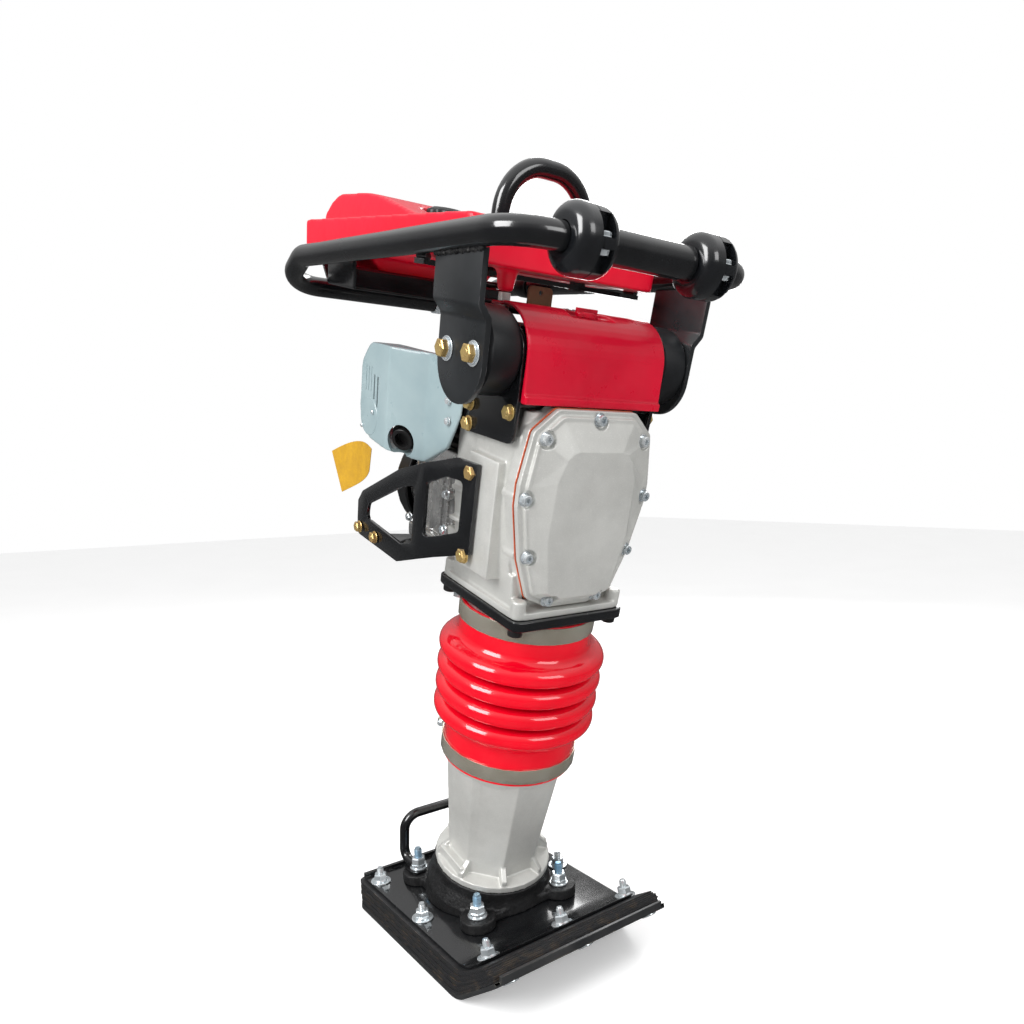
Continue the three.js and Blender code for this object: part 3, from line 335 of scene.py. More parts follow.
METALS = {
    "steel": ((196, 196, 194), (156, 156, 156), 0.26, {}),
    "spring_steel": ((70, 74, 80), (46, 48, 54), 0.32, {}),
    "stainless": ((232, 226, 210), (206, 196, 176), 0.14,
                  dict(grain=160, dent=0.16, stretch=(1, 1, 3), metallic=0.85)),
    "zinc": ((226, 230, 232), (186, 196, 202), 0.16, dict(grain=300)),
    "gold_zinc": ((206, 182, 118), (184, 146, 96), 0.2, dict(grain=260, dent=0.14)),
    "blue_thread": ((120, 168, 200), (196, 204, 206), 0.3, {}),
}
SKINS = {
    "red_polyurethane": ((214, 3, 30), (196, 2, 26), 0.16, dict(coat=0.9, peel=0.04)),
    "red_plastic": ((190, 0, 38), (172, 0, 32), 0.3, dict(coat=0.2, peel=0.03)),
    "tank_plastic": ((226, 16, 48), (208, 8, 40), 0.36, dict(coat=0.2, peel=0.07)),
}
FINISH = {maker.__name__: maker(Nodes(maker.__name__))
          for maker in (cast_aluminium, polished_casting, black_casting, laminated_wood, paper,
                        yellow_card)}
for maker, looks in ((coated, COATS), (metal, METALS), (red_skin, SKINS)):
    for name, (first, second, rough, more) in looks.items():
        FINISH[name] = maker(Nodes(name), first, second, rough, **more)


# ---- shells ----
def at(place, direction=(0, 0, 1)):
    """Local frame at a place, with its z along a direction."""
    turn = Vector(direction).normalized().to_track_quat("Z", "Y")
    return Matrix.Translation(place) @ turn.to_matrix().to_4x4()


def circle(radius, height, count):
    return [(radius * cos(tau * k / count), radius * sin(tau * k / count),
             height) for k in range(count)]


def band(low, high):
    """Quads between two rings of vertex numbers."""
    n = len(low)
    return [(low[k], low[(k + 1) % n], high[(k + 1) % n], high[k]) for k in range(n)]


class Clay:
    """Closed shells in millimetres that become one piece."""

    def __init__(self):
        self.bm = bmesh.new()

    def shell(self, points, faces, place=HERE):
        made = [self.bm.verts.new(place @ Vector(p)) for p in points]
        for face in faces:
            self.bm.faces.new([made[i] for i in face])
        return self

    def stack(self, rings, place=HERE):
        """Shell through rings of equally many points, closed at both ends."""
        n = len(rings[0])
        loops = [range(s * n, s * n + n) for s in range(len(rings))]
        faces = [tuple(loops[0])[::-1], tuple(loops[-1])]
        for low, high in zip(loops, loops[1:]):
            faces += band(low, high)
        return self.shell([p for ring in rings for p in ring], faces, place)

    def prism(self, outline, low, high, place=HERE):
        return self.stack([[(a, b, h) for a, b in outline] for h in (low, high)], place)

    def side_prism(self, outline, x0, x1):
        """Outline in (u, w) or (y, z), from x0 to x1."""
        across = Matrix(((0, 0, 1, 0), (1, 0, 0, 0), (0, 1, 0, 0), (0, 0, 0, 1)))
        return self.prism(outline, x0, x1, across)

    def front_prism(self, outline, u0, u1):
        """Outline in (x, w), from u0 to u1."""
        along = Matrix(((1, 0, 0, 0), (0, 0, 1, 0), (0, 1, 0, 0), (0, 0, 0, 1)))
        return self.prism(outline, u0, u1, along)

    def block(self, x0, x1, y0, y1, z0, z1, place=HERE):
        return self.prism([(x0, y0), (x1, y0), (x1, y1), (x0, y1)], z0, z1, place)

    def lathe(self, profile, place=HERE, count=40, closed=False):
        """Profile of (radius, height). It closes on itself, or its two ends lie on the axis."""
        rings, points, faces = [], [], []
        for r, h in profile:
            ring = circle(r, h, count) if r > 1e-6 else [(0, 0, h)]
            rings.append(range(len(points), len(points) + len(ring)))
            points += ring
        for low, high in zip(rings, rings[1:] + rings[:1] if closed else rings[1:]):
            wide = (list(ring) * (count // len(ring)) for ring in (low, high))
            faces += [tuple(dict.fromkeys(quad)) for quad in band(*wide)]
        return self.shell(points, faces, place)

    def rod(self, radius, low, high, place=HERE, count=24, edge=0.6):
        e = min(edge, radius * 0.4, (high - low) * 0.4)
        return self.lathe([(0, low), (radius - e, low), (radius, low + e), (radius, high - e),
                           (radius - e, high), (0, high)], place, count)

    def ring(self, inner, outer, low, high, place=HERE, count=32, edge=0.4):
        profile = [(inner, low), (outer - edge, low), (outer, low + edge), (outer, high - edge),
                   (outer - edge, high), (inner, high)]
        return self.lathe(profile, place, count, closed=True)

    def hexagon(self, flats, low, high, place=HERE):
        """Hexagonal head with the corners turned off at the top."""
        r = flats / sqrt(3)
        side = high - (high - low) * 0.16
        rings = [circle(q, h, 6) for q, h in ((r, low), (r, side), (r * 0.86, high))]
        return self.stack(rings, place)

    def tube(self, points, radius, count=24, closed=False):
        """Round bar swept along points; the ring's twist is carried from one point to the next."""
        points = [Vector(p) for p in points]
        n = len(points)
        rings, made, across = [], [], None
        for i, point in enumerate(points):
            before = points[(i - 1) % n] if closed or i else point
            after = points[(i + 1) % n] if closed or i < n - 1 else point
            ahead = (after - before).normalized()
            across = across or ahead.orthogonal().normalized()
            across = (across - ahead * across.dot(ahead)).normalized()
            other = ahead.cross(across)
            rings.append(range(len(made), len(made) + count))
            made += [point + across * x + other * y for x, y, _ in circle(radius, 0, count)]
        if closed:
            # the first ring is turned to meet the last one untwisted
            turn = min(range(count), key=lambda t: sum(
                (made[rings[-1][k]] - made[rings[0][(k + t) % count]]).length_squared
                for k in range(count)))
            faces = band(rings[-1], [rings[0][(k + turn) % count] for k in range(count)])
        else:
            faces = [tuple(rings[0])[::-1], tuple(rings[-1])]
        for low, high in zip(rings, rings[1:]):
            faces += band(low, high)
        return self.shell(made, faces)

    def copy_of(self, node, place):
        """The CAD node's own mesh, brought to millimetres in the given frame."""
        raw = Clay()
        raw.bm.from_mesh(frame["nodes"][node].data)
        raw.bm.transform(place.inverted())
        bmesh.ops.remove_doubles(raw.bm, verts=raw.bm.verts, dist=0.01)
        return self.absorb(raw)

    def chamfer(self, width, angle=28, steps=2):
        """Rounds the edges that are sharper than the angle."""
        bmesh.ops.dissolve_limit(self.bm, angle_limit=radians(1), verts=self.bm.verts,
                                 edges=self.bm.edges)
        limit = radians(angle)
        sharp = [e for e in self.bm.edges
                 if len(e.link_faces) == 2 and e.calc_face_angle(0) > limit]
        bmesh.ops.bevel(self.bm, geom=sharp, offset=width, segments=steps, profile=0.5,
                        affect="EDGES", clamp_overlap=True)
        return self

    def mesh(self, name):
        bmesh.ops.recalc_face_normals(self.bm, faces=self.bm.faces)
        made = bpy.data.meshes.new(name)
        self.bm.to_mesh(made)
        self.bm.free()
        return made

    def bare(self, name):
        made = bpy.data.objects.new(name, self.mesh(name))
        bpy.context.scene.collection.objects.link(made)
        return made

    def absorb(self, other):
        """Takes in another clay's shells as they are."""
        mesh = other.mesh("absorbed")
        self.bm.from_mesh(mesh)
        bpy.data.meshes.remove(mesh)
        return self

    def carved(self, *tools, operation="DIFFERENCE"):
        """Takes other clay away from this one, or keeps only what both fill."""
        block, cutters = self.bare("carved"), [tool.bare("cutter") for tool in tools]
        for cutter in cutters:
            knife = block.modifiers.new("cut", "BOOLEAN")
            knife.operation, knife.solver, knife.object = operation, "EXACT", cutter
        made = clay_from(block)
        for cutter in cutters:
            bpy.data.objects.remove(cutter)
        return made

    def moulded(self, voxel, rounds):
        """Fuses the shells and rounds their edges as a mould does."""
        block = self.bare("moulded")
        remesh = block.modifiers.new("fuse", "REMESH")
        remesh.mode, remesh.voxel_size = "VOXEL", voxel
        smooth = block.modifiers.new("round", "SMOOTH")
        smooth.factor, smooth.iterations = 0.5, rounds
        return clay_from(block)


def clay_from(obj):
    """Takes an object back as clay, with its modifiers applied."""
    seen = obj.evaluated_get(bpy.context.evaluated_depsgraph_get())
    made = Clay()
    made.bm.from_mesh(bpy.data.meshes.new_from_object(seen))
    bpy.data.objects.remove(obj)
    return made


def piece(name, clay, finish, body="machine", place=LEANING, sharp=32, replaces=(), ride=True):
    """Turns clay into a finished piece in the row frame that rides on a body."""
    clay.bm.transform(place)
    obj = clay.bare(name)
    obj.data.materials.append(FINISH[finish])
    obj.data.shade_smooth()
    obj.data.set_sharp_from_angle(angle=radians(sharp))
    if ride:
        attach(obj, body)
    if replaces:
        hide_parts(*replaces)
    return obj


def refined(node, width=0.9, angle=28, place=LEANING, steps=2):
    """A CAD node with its edges rounded."""
    clay = Clay().copy_of(node, place).chamfer(width, angle, steps)
    piece(node + "_shape", clay, SLOT[node], BODY[node], place, replaces=[node])


def cast(node, voxel=1.3, rounds=4, place=LEANING, finish=None, extra=None):
    """A CAD node as a casting or moulding, with any extra shells fused to it."""
    clay = (extra or Clay()).copy_of(node, place).moulded(voxel, rounds)
    piece(node + "_shape", clay, finish or SLOT[node], BODY[node], place, 60, [node])


def arc_corner(a, p, b, radius, steps):
    """Points of the arc that rounds the corner p between a and b."""
    a, p, b = Vector(a), Vector(p), Vector(b)
    to_a, to_b = (a - p).normalized(), (b - p).normalized()
    half = to_a.angle(to_b) / 2
    if radius <= 0 or half > pi / 2 - 1e-4:
        return [p]
    reach = radius / tan(half)
    start, end = p + to_a * reach, p + to_b * reach
    centre = p + (to_a + to_b).normalized() * (radius / sin(half))
    first, last = (start - centre).normalized(), (end - centre).normalized()
    return [centre + first.slerp(last, k / steps, first) * radius for k in range(steps + 1)]


def rounded_path(points, radii, steps=8, closed=False):
    n = len(points)
    made = []
    for i, p in enumerate(points):
        if not closed and i in (0, n - 1):
            made.append(Vector(p))
            continue
        made += arc_corner(points[i - 1], p, points[(i + 1) % n], radii[i], steps)
    return made


def rounded_outline(points, radius, steps=6):
    radii = radius if isinstance(radius, (list, tuple)) else [radius] * len(points)
    flat = [(x, y, 0) for x, y in points]
    return [(p.x, p.y) for p in rounded_path(flat, radii, steps, closed=True)]


def rounded_box(x0, x1, y0, y1, radius, steps=6):
    return rounded_outline([(x0, y0), (x1, y0), (x1, y1), (x0, y1)], radius, steps)


def mirrored(half):
    """Points of one side, then the same ones across the middle in the opposite order."""
    return half + [(-x, *rest) for x, *rest in reversed(half)]


# ---- fasteners ----
def hex_bolt(clay, place, size, washer=True):
    """Hexagon head on a washer; local z leaves the surface."""
    if washer:
        clay.ring(size * 0.52, size * 1.05, 0, size * 0.16, place)
    lift = size * 0.16 if washer else 0
    clay.hexagon(size * 1.6, lift, lift + size * 0.66, place)
    clay.rod(size * 0.45, lift + size * 0.6, lift + size * 0.7, place)


def nut_on_stud(clay, place, size, reach, washer=1.3):
    """Flange nut on a big washer with the end of its threaded stud."""
    clay.ring(size * 0.5, size * washer, 0, size * 0.2, place)
    clay.lathe([(0, size * 0.2), (size * 1.02, size * 0.2), (size * 1.02, size * 0.34),
                (size * 0.86, size * 0.5), (0, size * 0.5)], place, 32)
    clay.hexagon(size * 1.72, size * 0.4, size * 1.36, place)
    thread(clay, place, size / 2, size * 1.3, reach)


def thread(clay, place, radius, low, high, pitch=1.5):
    """Ridged stud end with a chamfered tip."""
    profile = [(0, low)]
    h = low
    while h < high - 2 * pitch:
        profile += [(radius, h), (radius, h + pitch * 0.3), (radius * 0.86, h + pitch * 0.75)]
        h += pitch
    profile += [(radius * 0.86, h), (radius * 0.7, high), (0, high)]
    clay.lathe(profile, place, 20)


def socket_screw(clay, place, size):
    """Cylinder head with a hexagon socket."""
    r, high, deep, count = size * 0.8, size * 0.95, size * 0.5, 24
    socket = []
    for x, y, _ in circle(r * 0.55, 0, count):
        off_flat = atan2(y, x) % (tau / 6) - tau / 12
        k = cos(tau / 12) / cos(off_flat)
        socket.append((x * k, y * k))
    rings = [circle(q, h, count) for q, h in ((r, 0), (r, high - 0.6), (r - 0.6, high))]
    clay.stack(rings + [[(x, y, h) for x, y in socket] for h in (high, high - deep)], place)


def bolt_set(name, finish, spots):
    """One piece of hexagon bolts, each given by its place, direction and size."""
    clay = Clay()
    for place, direction, size in spots:
        hex_bolt(clay, at(place, direction), size)
    piece(name, clay, finish)


# ---- shoe ----
def toe_rise(knee, tip):
    return atan2(tip[1] - knee[1], knee[0] - tip[0])


def shoe_path(knee, tip, offset, height):
    """Side view of a shoe face from the heel to the toe, moved along the face's own normal."""
    rise = toe_rise(knee, tip)
    heel = (SHOE_HEEL, height + offset, 0)
    bend = (knee[0] + tan(rise / 2) * offset, knee[1] + offset, 0)
    end = (tip[0] + sin(rise) * offset, tip[1] + cos(rise) * offset, 0)
    return [p.xy for p in rounded_path([heel, bend, end], [0, 60, 0], 9)]


def shoe_plies(count=9):
    """The wooden block as its plies: edges stand a little in or out, and the toe is rounded."""
    low = shoe_path(SOLE_KNEE, SOLE_TIP, SOLE_T + 0.4, 0)
    high = shoe_path(TOP_KNEE, TOP_TIP, 0, BLOCK_TOP)
    insets = (0.1, 0.9, 0.4, 1.1, 0.0, 0.8, 0.3, 1.0, 0.5)
    block = Clay()
    for i in range(count):
        nose = 13 * (i / (count - 1)) ** 3
        block.absorb(shoe_layer(low, high, i / count, (i + 0.965) / count, insets[i], nose))
    block.absorb(shoe_layer(low, high, 0.02, 0.96, 2.4, 13))
    piece("shoe_plies", block, "laminated_wood", "foot", UPRIGHT, 25, ["shoe_block"])


def shoe_layer(low, high, start, end, inset, nose):
    """A layer between two shares of the block's height, cut back by inset and at the nose."""
    under = [a.lerp(b, start) for a, b in zip(low, high)]
    over = [a.lerp(b, end) for a, b in zip(low, high)]
    ahead = (under[-1] - under[-2]).normalized()
    for line in (under, over):
        line[-1] = line[-1] - ahead * (inset * 1.6 + nose)
    half = SHOE_WIDTH / 2 - inset
    heel = SHOE_HEEL - inset
    plan = rounded_box(-half, half, -298 + inset, heel, [14, 14, 12, 12], 8)
    plan = Clay().prism(plan, -10, 150)
    side = [tuple(p) for p in under + over[::-1]]
    return Clay().side_prism(side, -half - 5, half + 5).carved(plan, operation="INTERSECT")


def on_plate(y):
    """Spot and upward normal of the cover plate's top face at a distance along the shoe."""
    path = shoe_path(TOP_KNEE, TOP_TIP, PLATE_FACE, BLOCK_TOP)
    for a, b in zip(path, path[1:]):
        if b.x <= y <= a.x:
            spot = a.lerp(b, (a.x - y) / (a.x - b.x))
            ahead = (b - a).normalized()
            return spot, Vector((0, ahead.y, -ahead.x))
    return path[-1], Vector((0, 0, 1))


def shoe_fasteners():
    nuts, threads = Clay(), Clay()
    for x in (-121, 121):
        for y in (46, -87):
            nut_on_stud(nuts, at((x, y, SHOE_TOP + 0.2)), 10, 24, 1.5)
    spot, up = on_plate(-238)
    for x in (-108, 11, 127):
        nut_on_stud(nuts, at((x, spot.x, spot.y + 0.2), up + Vector((0, 0, 1))), 10, 24, 1.5)
    for x in (-STUD_X, STUD_X):
        for side in (-1, 1):
            base = SHOE_TOP + (20.2 if side > 0 else 15.8)
            place = at((x, AXIS_Y + side * STUD_Y, base))
            nuts.ring(5.6, 13.5, 0, 2.4, place)
            nuts.lathe([(0, 2.4), (11.4, 2.4), (11.4, 7), (0, 7)], place, 32)
            nuts.hexagon(19, 7, 17.5, place)
            thread(threads, place, 5.8, 17, 33)
    piece("shoe_nuts", nuts, "zinc", "foot", UPRIGHT)
    piece("stud_ends", threads, "blue_thread", "foot", UPRIGHT)


def sole_bolt_heads():
    """Round bolt heads sunk in the sole's toe, seen as bright slots under the lip."""
    rise = toe_rise(SOLE_KNEE, SOLE_TIP)
    along = Vector((0, -cos(rise), sin(rise)))
    out = Vector((0, -sin(rise), -cos(rise)))
    heads = Clay()
    spot = Vector((0, *SOLE_KNEE)) + along * 92
    for x in TOE_NUTS:
        place = at((x, spot.y, spot.z), out)
        heads.lathe([(0, -1), (11, -1), (11, 1.6), (9, 2.8), (0, 3)], place, 32)
    piece("sole_bolt_heads", heads, "zinc", "foot", UPRIGHT)


def shoe():
    shoe_plies()
    refined("shoe_top_plate", 1.0, 25, UPRIGHT)
    refined("sole_plate", 1.2, 25, UPRIGHT)
    shoe_fasteners()
    sole_bolt_heads()
    cast("foot_casting", 1.5, 4, UPRIGHT)
    bars = Clay()
    half = [(-75, 18, 75.6), (-76, 52, 78), (-76, 42, 149)]
    bars.tube(rounded_path(mirrored(half), [0, 16, 24, 24, 16, 0], 10), 7.4, 24)
    low = SHOE_TOP + 15.9
    for side in (-1, 1):
        bars.prism(rounded_box(side * 75 - 12, side * 75 + 12, 0, 36, 8), low, low + 4)
    piece("foot_handle_bar", bars, "black_paint", "foot", UPRIGHT, replaces=["foot_handle"])


# ---- foot cylinder, springs and bellows ----
def foot_cylinder():
    rails = Clay()
    for angle in (-150, -30):
        turn = Matrix.Rotation(radians(angle), 4, "Z")
        slope = [(64.5, 92), (79, 232), (77, 232), (61, 92)]
        flat = Matrix(((1, 0, 0, 0), (0, 0, -1, 0), (0, 1, 0, 0), (0, 0, 0, 1)))
        rails.prism(slope, -1.2, 1.2, turn @ flat)
    cast("foot_cylinder", 1.25, 3, extra=rails)
    refined("lower_clamp", 0.5)
    refined("upper_clamp", 0.5)
    clamp_screws()


def clamp_screws():
    """Screw through the two lugs of each band."""
    for name in ("lower_clamp", "upper_clamp"):
        span = clay_box(name)
        lug = Matrix.Rotation(0.6, 4, "Z")
        radius = (92.4 if name == "lower_clamp" else 86.8) + 6
        height = (span[0].z + span[1].z) / 2
        bolt = Clay()
        hex_bolt(bolt, lug @ at((9, radius, height), (1, 0, 0)), 5)
        hex_bolt(bolt, lug @ at((-9, radius, height), (-1, 0, 0)), 5)
        piece(name + "_screw", bolt, "zinc", BODY[name])


def clay_box(node):
    """A node's lowest and highest corners in the leaning frame, in millimetres."""
    back = LEANING.inverted()
    points = [back @ v.co for v in frame["nodes"][node].data.vertices]
    return (Vector(min(p[i] for p in points) for i in range(3)),
            Vector(max(p[i] for p in points) for i in range(3)))


def bellows_profile(inset):
    """Full round waves with narrow creases between them, and a plain neck at each end."""
    first = FIRST_WAVE - WAVE_PITCH / 2
    last = first + WAVES * WAVE_PITCH
    profile = [(NECK_LOW, BELLOWS_LOW - 4), (NECK_LOW, BELLOWS_LOW + 24),
               (NECK_LOW + 0.6, first - 10), (VALLEY_R + 2, first - 1)]
    for wave in range(WAVES):
        for k in range(1, 16):
            s = k / 16
            swell = (1 - abs(2 * s - 1) ** 2.3) ** 0.62
            r = VALLEY_R + (WAVE_R - VALLEY_R) * swell
            profile.append((r, first + (wave + s) * WAVE_PITCH))
        if wave < WAVES - 1:
            profile.append((VALLEY_R, first + (wave + 1) * WAVE_PITCH))
    profile += [(VALLEY_R - 1, last + 1), (NECK_HIGH + 0.6, last + 9),
                (NECK_HIGH, BELLOWS_HIGH - 24), (NECK_HIGH, BELLOWS_HIGH)]
    return [(r - inset, h) for r, h in profile]


def bellows():
    skin = Clay().lathe(bellows_profile(0) + bellows_profile(BELLOWS_WALL - 0.6)[::-1], HERE, 144,
                        closed=True)
    boot = piece("bellows_boot", skin, "red_polyurethane", sharp=70, replaces=["bellows"],
                 ride=False)
    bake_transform(boot)


def coil_spring(node, low, high, turns=5):
    steps = turns * 28
    path = [(COIL_R * cos(tau * turns * k / steps), COIL_R * sin(tau * turns * k / steps),
             low + (high - low) * k / steps) for k in range(steps + 1)]
    spring = piece(node + "_coil", Clay().tube(path, WIRE_R, 12), "spring_steel",
                   replaces=[node], ride=False)
    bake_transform(spring)


def leg():
    foot_cylinder()
    bellows()
    coil_spring("lower_spring", 72, 240)
    coil_spring("upper_spring", 271, 420)
    refined("flange_plate", 1.6, steps=3)
    heads = Clay()
    for x in (-71, 71):
        for u in (-73, 73):
            place = at((x, u, PLATE_LOW), (0, 0, -1))
            heads.rod(8.6, 0, 9, place, 28)
            heads.ring(8.4, 8.8, 1.2, 8, place, 28)
    piece("flange_cap_screws", heads, "black_fins")


# ---- gearcase ----
def cover_outline(grow):
    right = []
    for x, w in COVER_SIDE:
        k = 1 + grow / hypot(x, w - COVER_MIDDLE)
        right.append((x * k, COVER_MIDDLE + (w - COVER_MIDDLE) * k))
    return mirrored(right)


COVER_SCREWS = [(s * x, w) for x, w in [(68.7, 683.7), (85.2, 621.1), (73.1, 556.5), (36.2, 502.4)]
                for s in (-1, 1)] + [(0, 704.6)]


def gearcase_cover():
    """Thin flange, a step, and a faceted shield with a pocket for each screw."""
    rim = Clay().front_prism(rounded_outline(cover_outline(0), 9), COVER_BACK - 7, COVER_BACK)
    step = rounded_outline(cover_outline(-7), 10)
    rim.front_prism(step, COVER_BACK - 12.5, COVER_BACK - 5)
    edge = cover_outline(-9)
    middle = mirrored([(30, 508), (46, 516), (57, 577), (55, 640), (46, 664), (38, 671), (30, 673)])
    levels = [(edge, COVER_BACK - 8), (edge, COVER_BACK - 11.5), (middle, COVER_FRONT - 3)]
    rim.stack([[(x, u, w) for x, w in outline] for outline, u in levels])
    pockets = [Clay().rod(10, 0, 40, at((x, COVER_BACK - 9, w), AHEAD), 32)
               for x, w in COVER_SCREWS]
    whole = rim.moulded(0.9, 0).carved(*pockets).moulded(0.85, 3)
    piece("gearcase_shield", whole, "cast_aluminium", sharp=60,
          replaces=["gearcase_cover"])
    screws = Clay()
    for x, w in COVER_SCREWS:
        screws.ring(4, 7.6, 0, 0.8, at((x, COVER_BACK - 8.8, w), AHEAD))
        socket_screw(screws, at((x, COVER_BACK - 9.4, w), AHEAD), 7)
    piece("cover_screws", screws, "zinc")


def crankcase():
    """Casing with a rib at each shoulder and a rod behind each screw of its flange."""
    extra = Clay()
    for side in (-1, 1):
        extra.tube([(side * 84, -50, 650), (side * 74, -50, 706)], 5, 16)
        for x, w in ((86, 621), (76, 556)):
            extra.rod(7, 0, 22, at((side * x, -66, w), (0, 1, 0)), 24)
    cast("crankcase", 1.4, 4, extra=extra)


def hidden_internals():
    """Pieces that stay as CAD made them, inside the machine, with their own finish."""
    for name in ("spring_cylinder", "guide_cylinder", "main_bearing", "crank_gear",
                 "connecting_rod", "piston_rod", "pinion_drum", "engine_shaft", "cover_gasket",
                 "filter_element"):
        materials = frame["nodes"][name].data.materials
        materials.clear()
        materials.append(FINISH[SLOT[name]])


# ---- engine ----
COVER_OUTLINE = [(34, 740), (200, 736), (222, 712), (224, 650), (196, 624), (104, 615), (60, 642),
                 (40, 682)]
COVER_CORNERS = [16, 22, 20, 24, 22, 20, 12, 10]


def shield_form(inset, rounds):
    """Deep-drawn form: its outer face covers the rear third, and its front wall slopes away."""
    centre = Vector((130, 680))
    outline = []
    for u, w in COVER_OUTLINE:
        away = Vector((u, w)) - centre
        outline.append(tuple(centre + away * (1 - inset / away.length)))
    form = Clay().side_prism(rounded_outline(outline, COVER_CORNERS), SHIELD_FACE + inset,
                             -70 if inset else -97)
    wall = [(SHIELD_FACE, 150), (-107, 104), (-100, 40)]
    slope = Clay().prism([(-170, 150 + inset)] + [(x + inset, u + inset) for x, u in wall]
                         + [(-100 + inset, 0), (-170, 0)], 560, 800)
    return form.carved(slope).moulded(1.5, rounds)


def muffler_cover():
    """Shield with two slots, pressed ribs, a round plate and the hole of the outlet."""
    side = SHIELD_FACE
    relief = Clay().rod(23, -1, 1.4, at((side + 0.6, 196, 650), LEFT), 48, 1.0)
    for u in (194, 201, 208):
        relief.block(side - 0.6, side + 2, u - 1.3, u + 1.3, 680, 708)
    piece("muffler_shield_relief", relief, "blue_grey_plastic")
    mouth = at((-122, 132, 634), (-0.75, -0.6, -0.3))
    cutters = [shield_form(4, 6)]
    for u, low, high in ((185, 672, 700), (176, 664, 699)):
        cutters.append(Clay().block(side - 9, side + 9, u - 1.7, u + 1.7, low, high))
    cutters.append(Clay().rod(18, -14, 30, mouth, 48))
    shield = shield_form(0, 10).carved(*cutters)
    piece("muffler_shield", shield, "blue_grey_plastic", sharp=50,
          replaces=["muffler_cover"])
    screws = Clay()
    for u, w in ((184, 657), (212, 636)):
        screws.rod(2.6, 0, 2.4, at((side - 0.6, u, w), LEFT), 20)
    for u, w in ((62, 694), (60, 672)):
        hex_bolt(screws, at((-103, u, w), (-1, -0.1, 0)), 4.5)
    piece("muffler_shield_screws", screws, "zinc")
    # Outlet ring with a black disc at its back: the disc is painted shade, a dark plug that stands
    # for the shade inside the pipe and closes the view through the hole.
    outlet_and_shade_disc = Clay().ring(9, 13, -14, -2, mouth, 40).rod(17, -17, -12, mouth, 40)
    piece("muffler_outlet_and_shade_disc", outlet_and_shade_disc, "black_fins")
    clear = Clay().prism([(-170, 160), (-126, 160), (-99, 114), (-92, 50), (-92, 0), (-170, 0)],
                         560, 800)
    can = Clay().copy_of("muffler", LEANING).carved(clear).chamfer(0.8)
    piece("muffler_can", can, "black_fins", replaces=["muffler"])


def engine():
    cast("engine_block", 1.5, 4, finish="polished_casting")
    cast("clutch_housing", 1.5, 3)
    refined("cylinder_fins", 0.7)
    cast("rocker_cover", 1.2, 4)
    muffler_cover()
    refined("spark_plug", 0.5)
    cast("carburettor", 1.1, 3)
    cast("intake_elbow", 0.8, 3)
    cast("recoil_housing", 1.4, 4)
    cast("pull_handle", 0.8, 3)
    starter_rope()
    refined("engine_guard", 0.8)
    bolt_set("guard_bolts", "gold_zinc",
          [((-101.5, 2, w), LEFT, 9) for w in (629, 534)]
          + [((-131, u, 503), LEFT, 7.5) for u in (216, 170)])
    block_details()


def starter_rope():
    """Rope that stretches out of the recoil housing behind its handle."""
    path = rounded_path([(-26, 222, 610), (-32, 238, 624), (-34, 246, 628), (-34, 256, 628)],
                        [0, 10, 8, 0], 8)
    rope = piece("starter_rope", Clay().tube(path, 2.2, 16), "black_cable", ride=False)
    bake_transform(rope)


def block_details():
    """Ribs, bosses and bolts on the side of the engine block."""
    ribs = Clay()
    for u in (112, 128, 176, 192):
        ribs.block(-63.5, -58, u - 2, u + 2, 512, 610)
    for w in (530, 575, 612):
        ribs.rod(7, 0, 8, at((-60, 106, w), LEFT), 24)
    piece("block_ribs", ribs.moulded(1.0, 3), "polished_casting", sharp=60)
    bolt_set("block_bolts", "zinc",
          [((-68, u, w), LEFT, 6) for u, w in ((106, 530), (106, 575), (196, 520))])


def yellow_tag():
    """Curled card beside the guard; what it hangs from is not drawn."""
    near, far = Vector((222, 604)), Vector((340, 574))
    low_far, low_near = Vector((302, 526)), Vector((226, 574))
    count, rows, thick = 16, 5, 0.8
    rings = []
    for k in range(count + 1):
        s = k / count
        bow = -116.5 + 7 * sin(pi * s * 1.15)
        top = near.lerp(far, s) + Vector((0, 12 * sin(pi * s)))
        line = [top.lerp(low_near.lerp(low_far, s), j / (rows - 1)) for j in range(rows)]
        rings.append([(bow, *p) for p in line] + [(bow + thick, *p) for p in reversed(line)])
    piece("tag_card", Clay().stack(rings), "yellow_card", replaces=["yellow_tag"])


# ---- mount frame and air filter ----
def filter_and_mount():
    refined("mount_frame", 0.8)
    for side, name in ((-1, "rubber_mount_left"), (1, "rubber_mount_right")):
        low, high = clay_box(name)
        profile = [(0, low.x), (38, low.x), (43, low.x + 5), (43, high.x - 5), (40, high.x),
                   (0, high.x)]
        puck = Clay().lathe(profile, at((0, MOUNT_U, MOUNT_W), (1, 0, 0)), 64)
        piece(name + "_puck", puck, "black_rubber", BODY[name], sharp=40, replaces=[name])
    cast("air_housing", 1.4, 3)
    filter_cover()
    bolt_set("mount_bolts", "gold_zinc",
          [((side * 95.6, u, w), (side, 0, 0), 8)
           for u, w in ((29, 699), (29, 677), (-47, 703)) for side in (-1, 1)])


def filter_cover():
    """Bowed red cover with a crescent recess on top and the turning latch that lies in it."""
    arc = [(MOUNT_U + 46 * cos(radians(a)), MOUNT_W + 46 * sin(radians(a)))
           for a in range(70, 151, 5)]
    bowl = Clay().copy_of("filter_cover", LEANING).side_prism(arc, -31, 37).moulded(1.1, 1)
    recess = Clay().rod(30, 0, 30, at((3, -36, 798.6)), 64)
    piece("filter_cover_shell", bowl.carved(recess).moulded(1.0, 3), "red_plastic",
          sharp=60, replaces=["filter_cover"])
    latch = Clay().prism(rounded_box(-14, 14, -35, -25, 4.5), 799.4, 803.5)
    latch.prism(rounded_box(-14, 14, -31, -25, 2.4), 802, 808.4)
    latch.rod(8.6, 799.2, 804.6, at((0, -30, 0)), 32)
    piece("latch_grip", latch.moulded(0.6, 3), "red_plastic", "latch", sharp=60,
          replaces=["cover_latch"])


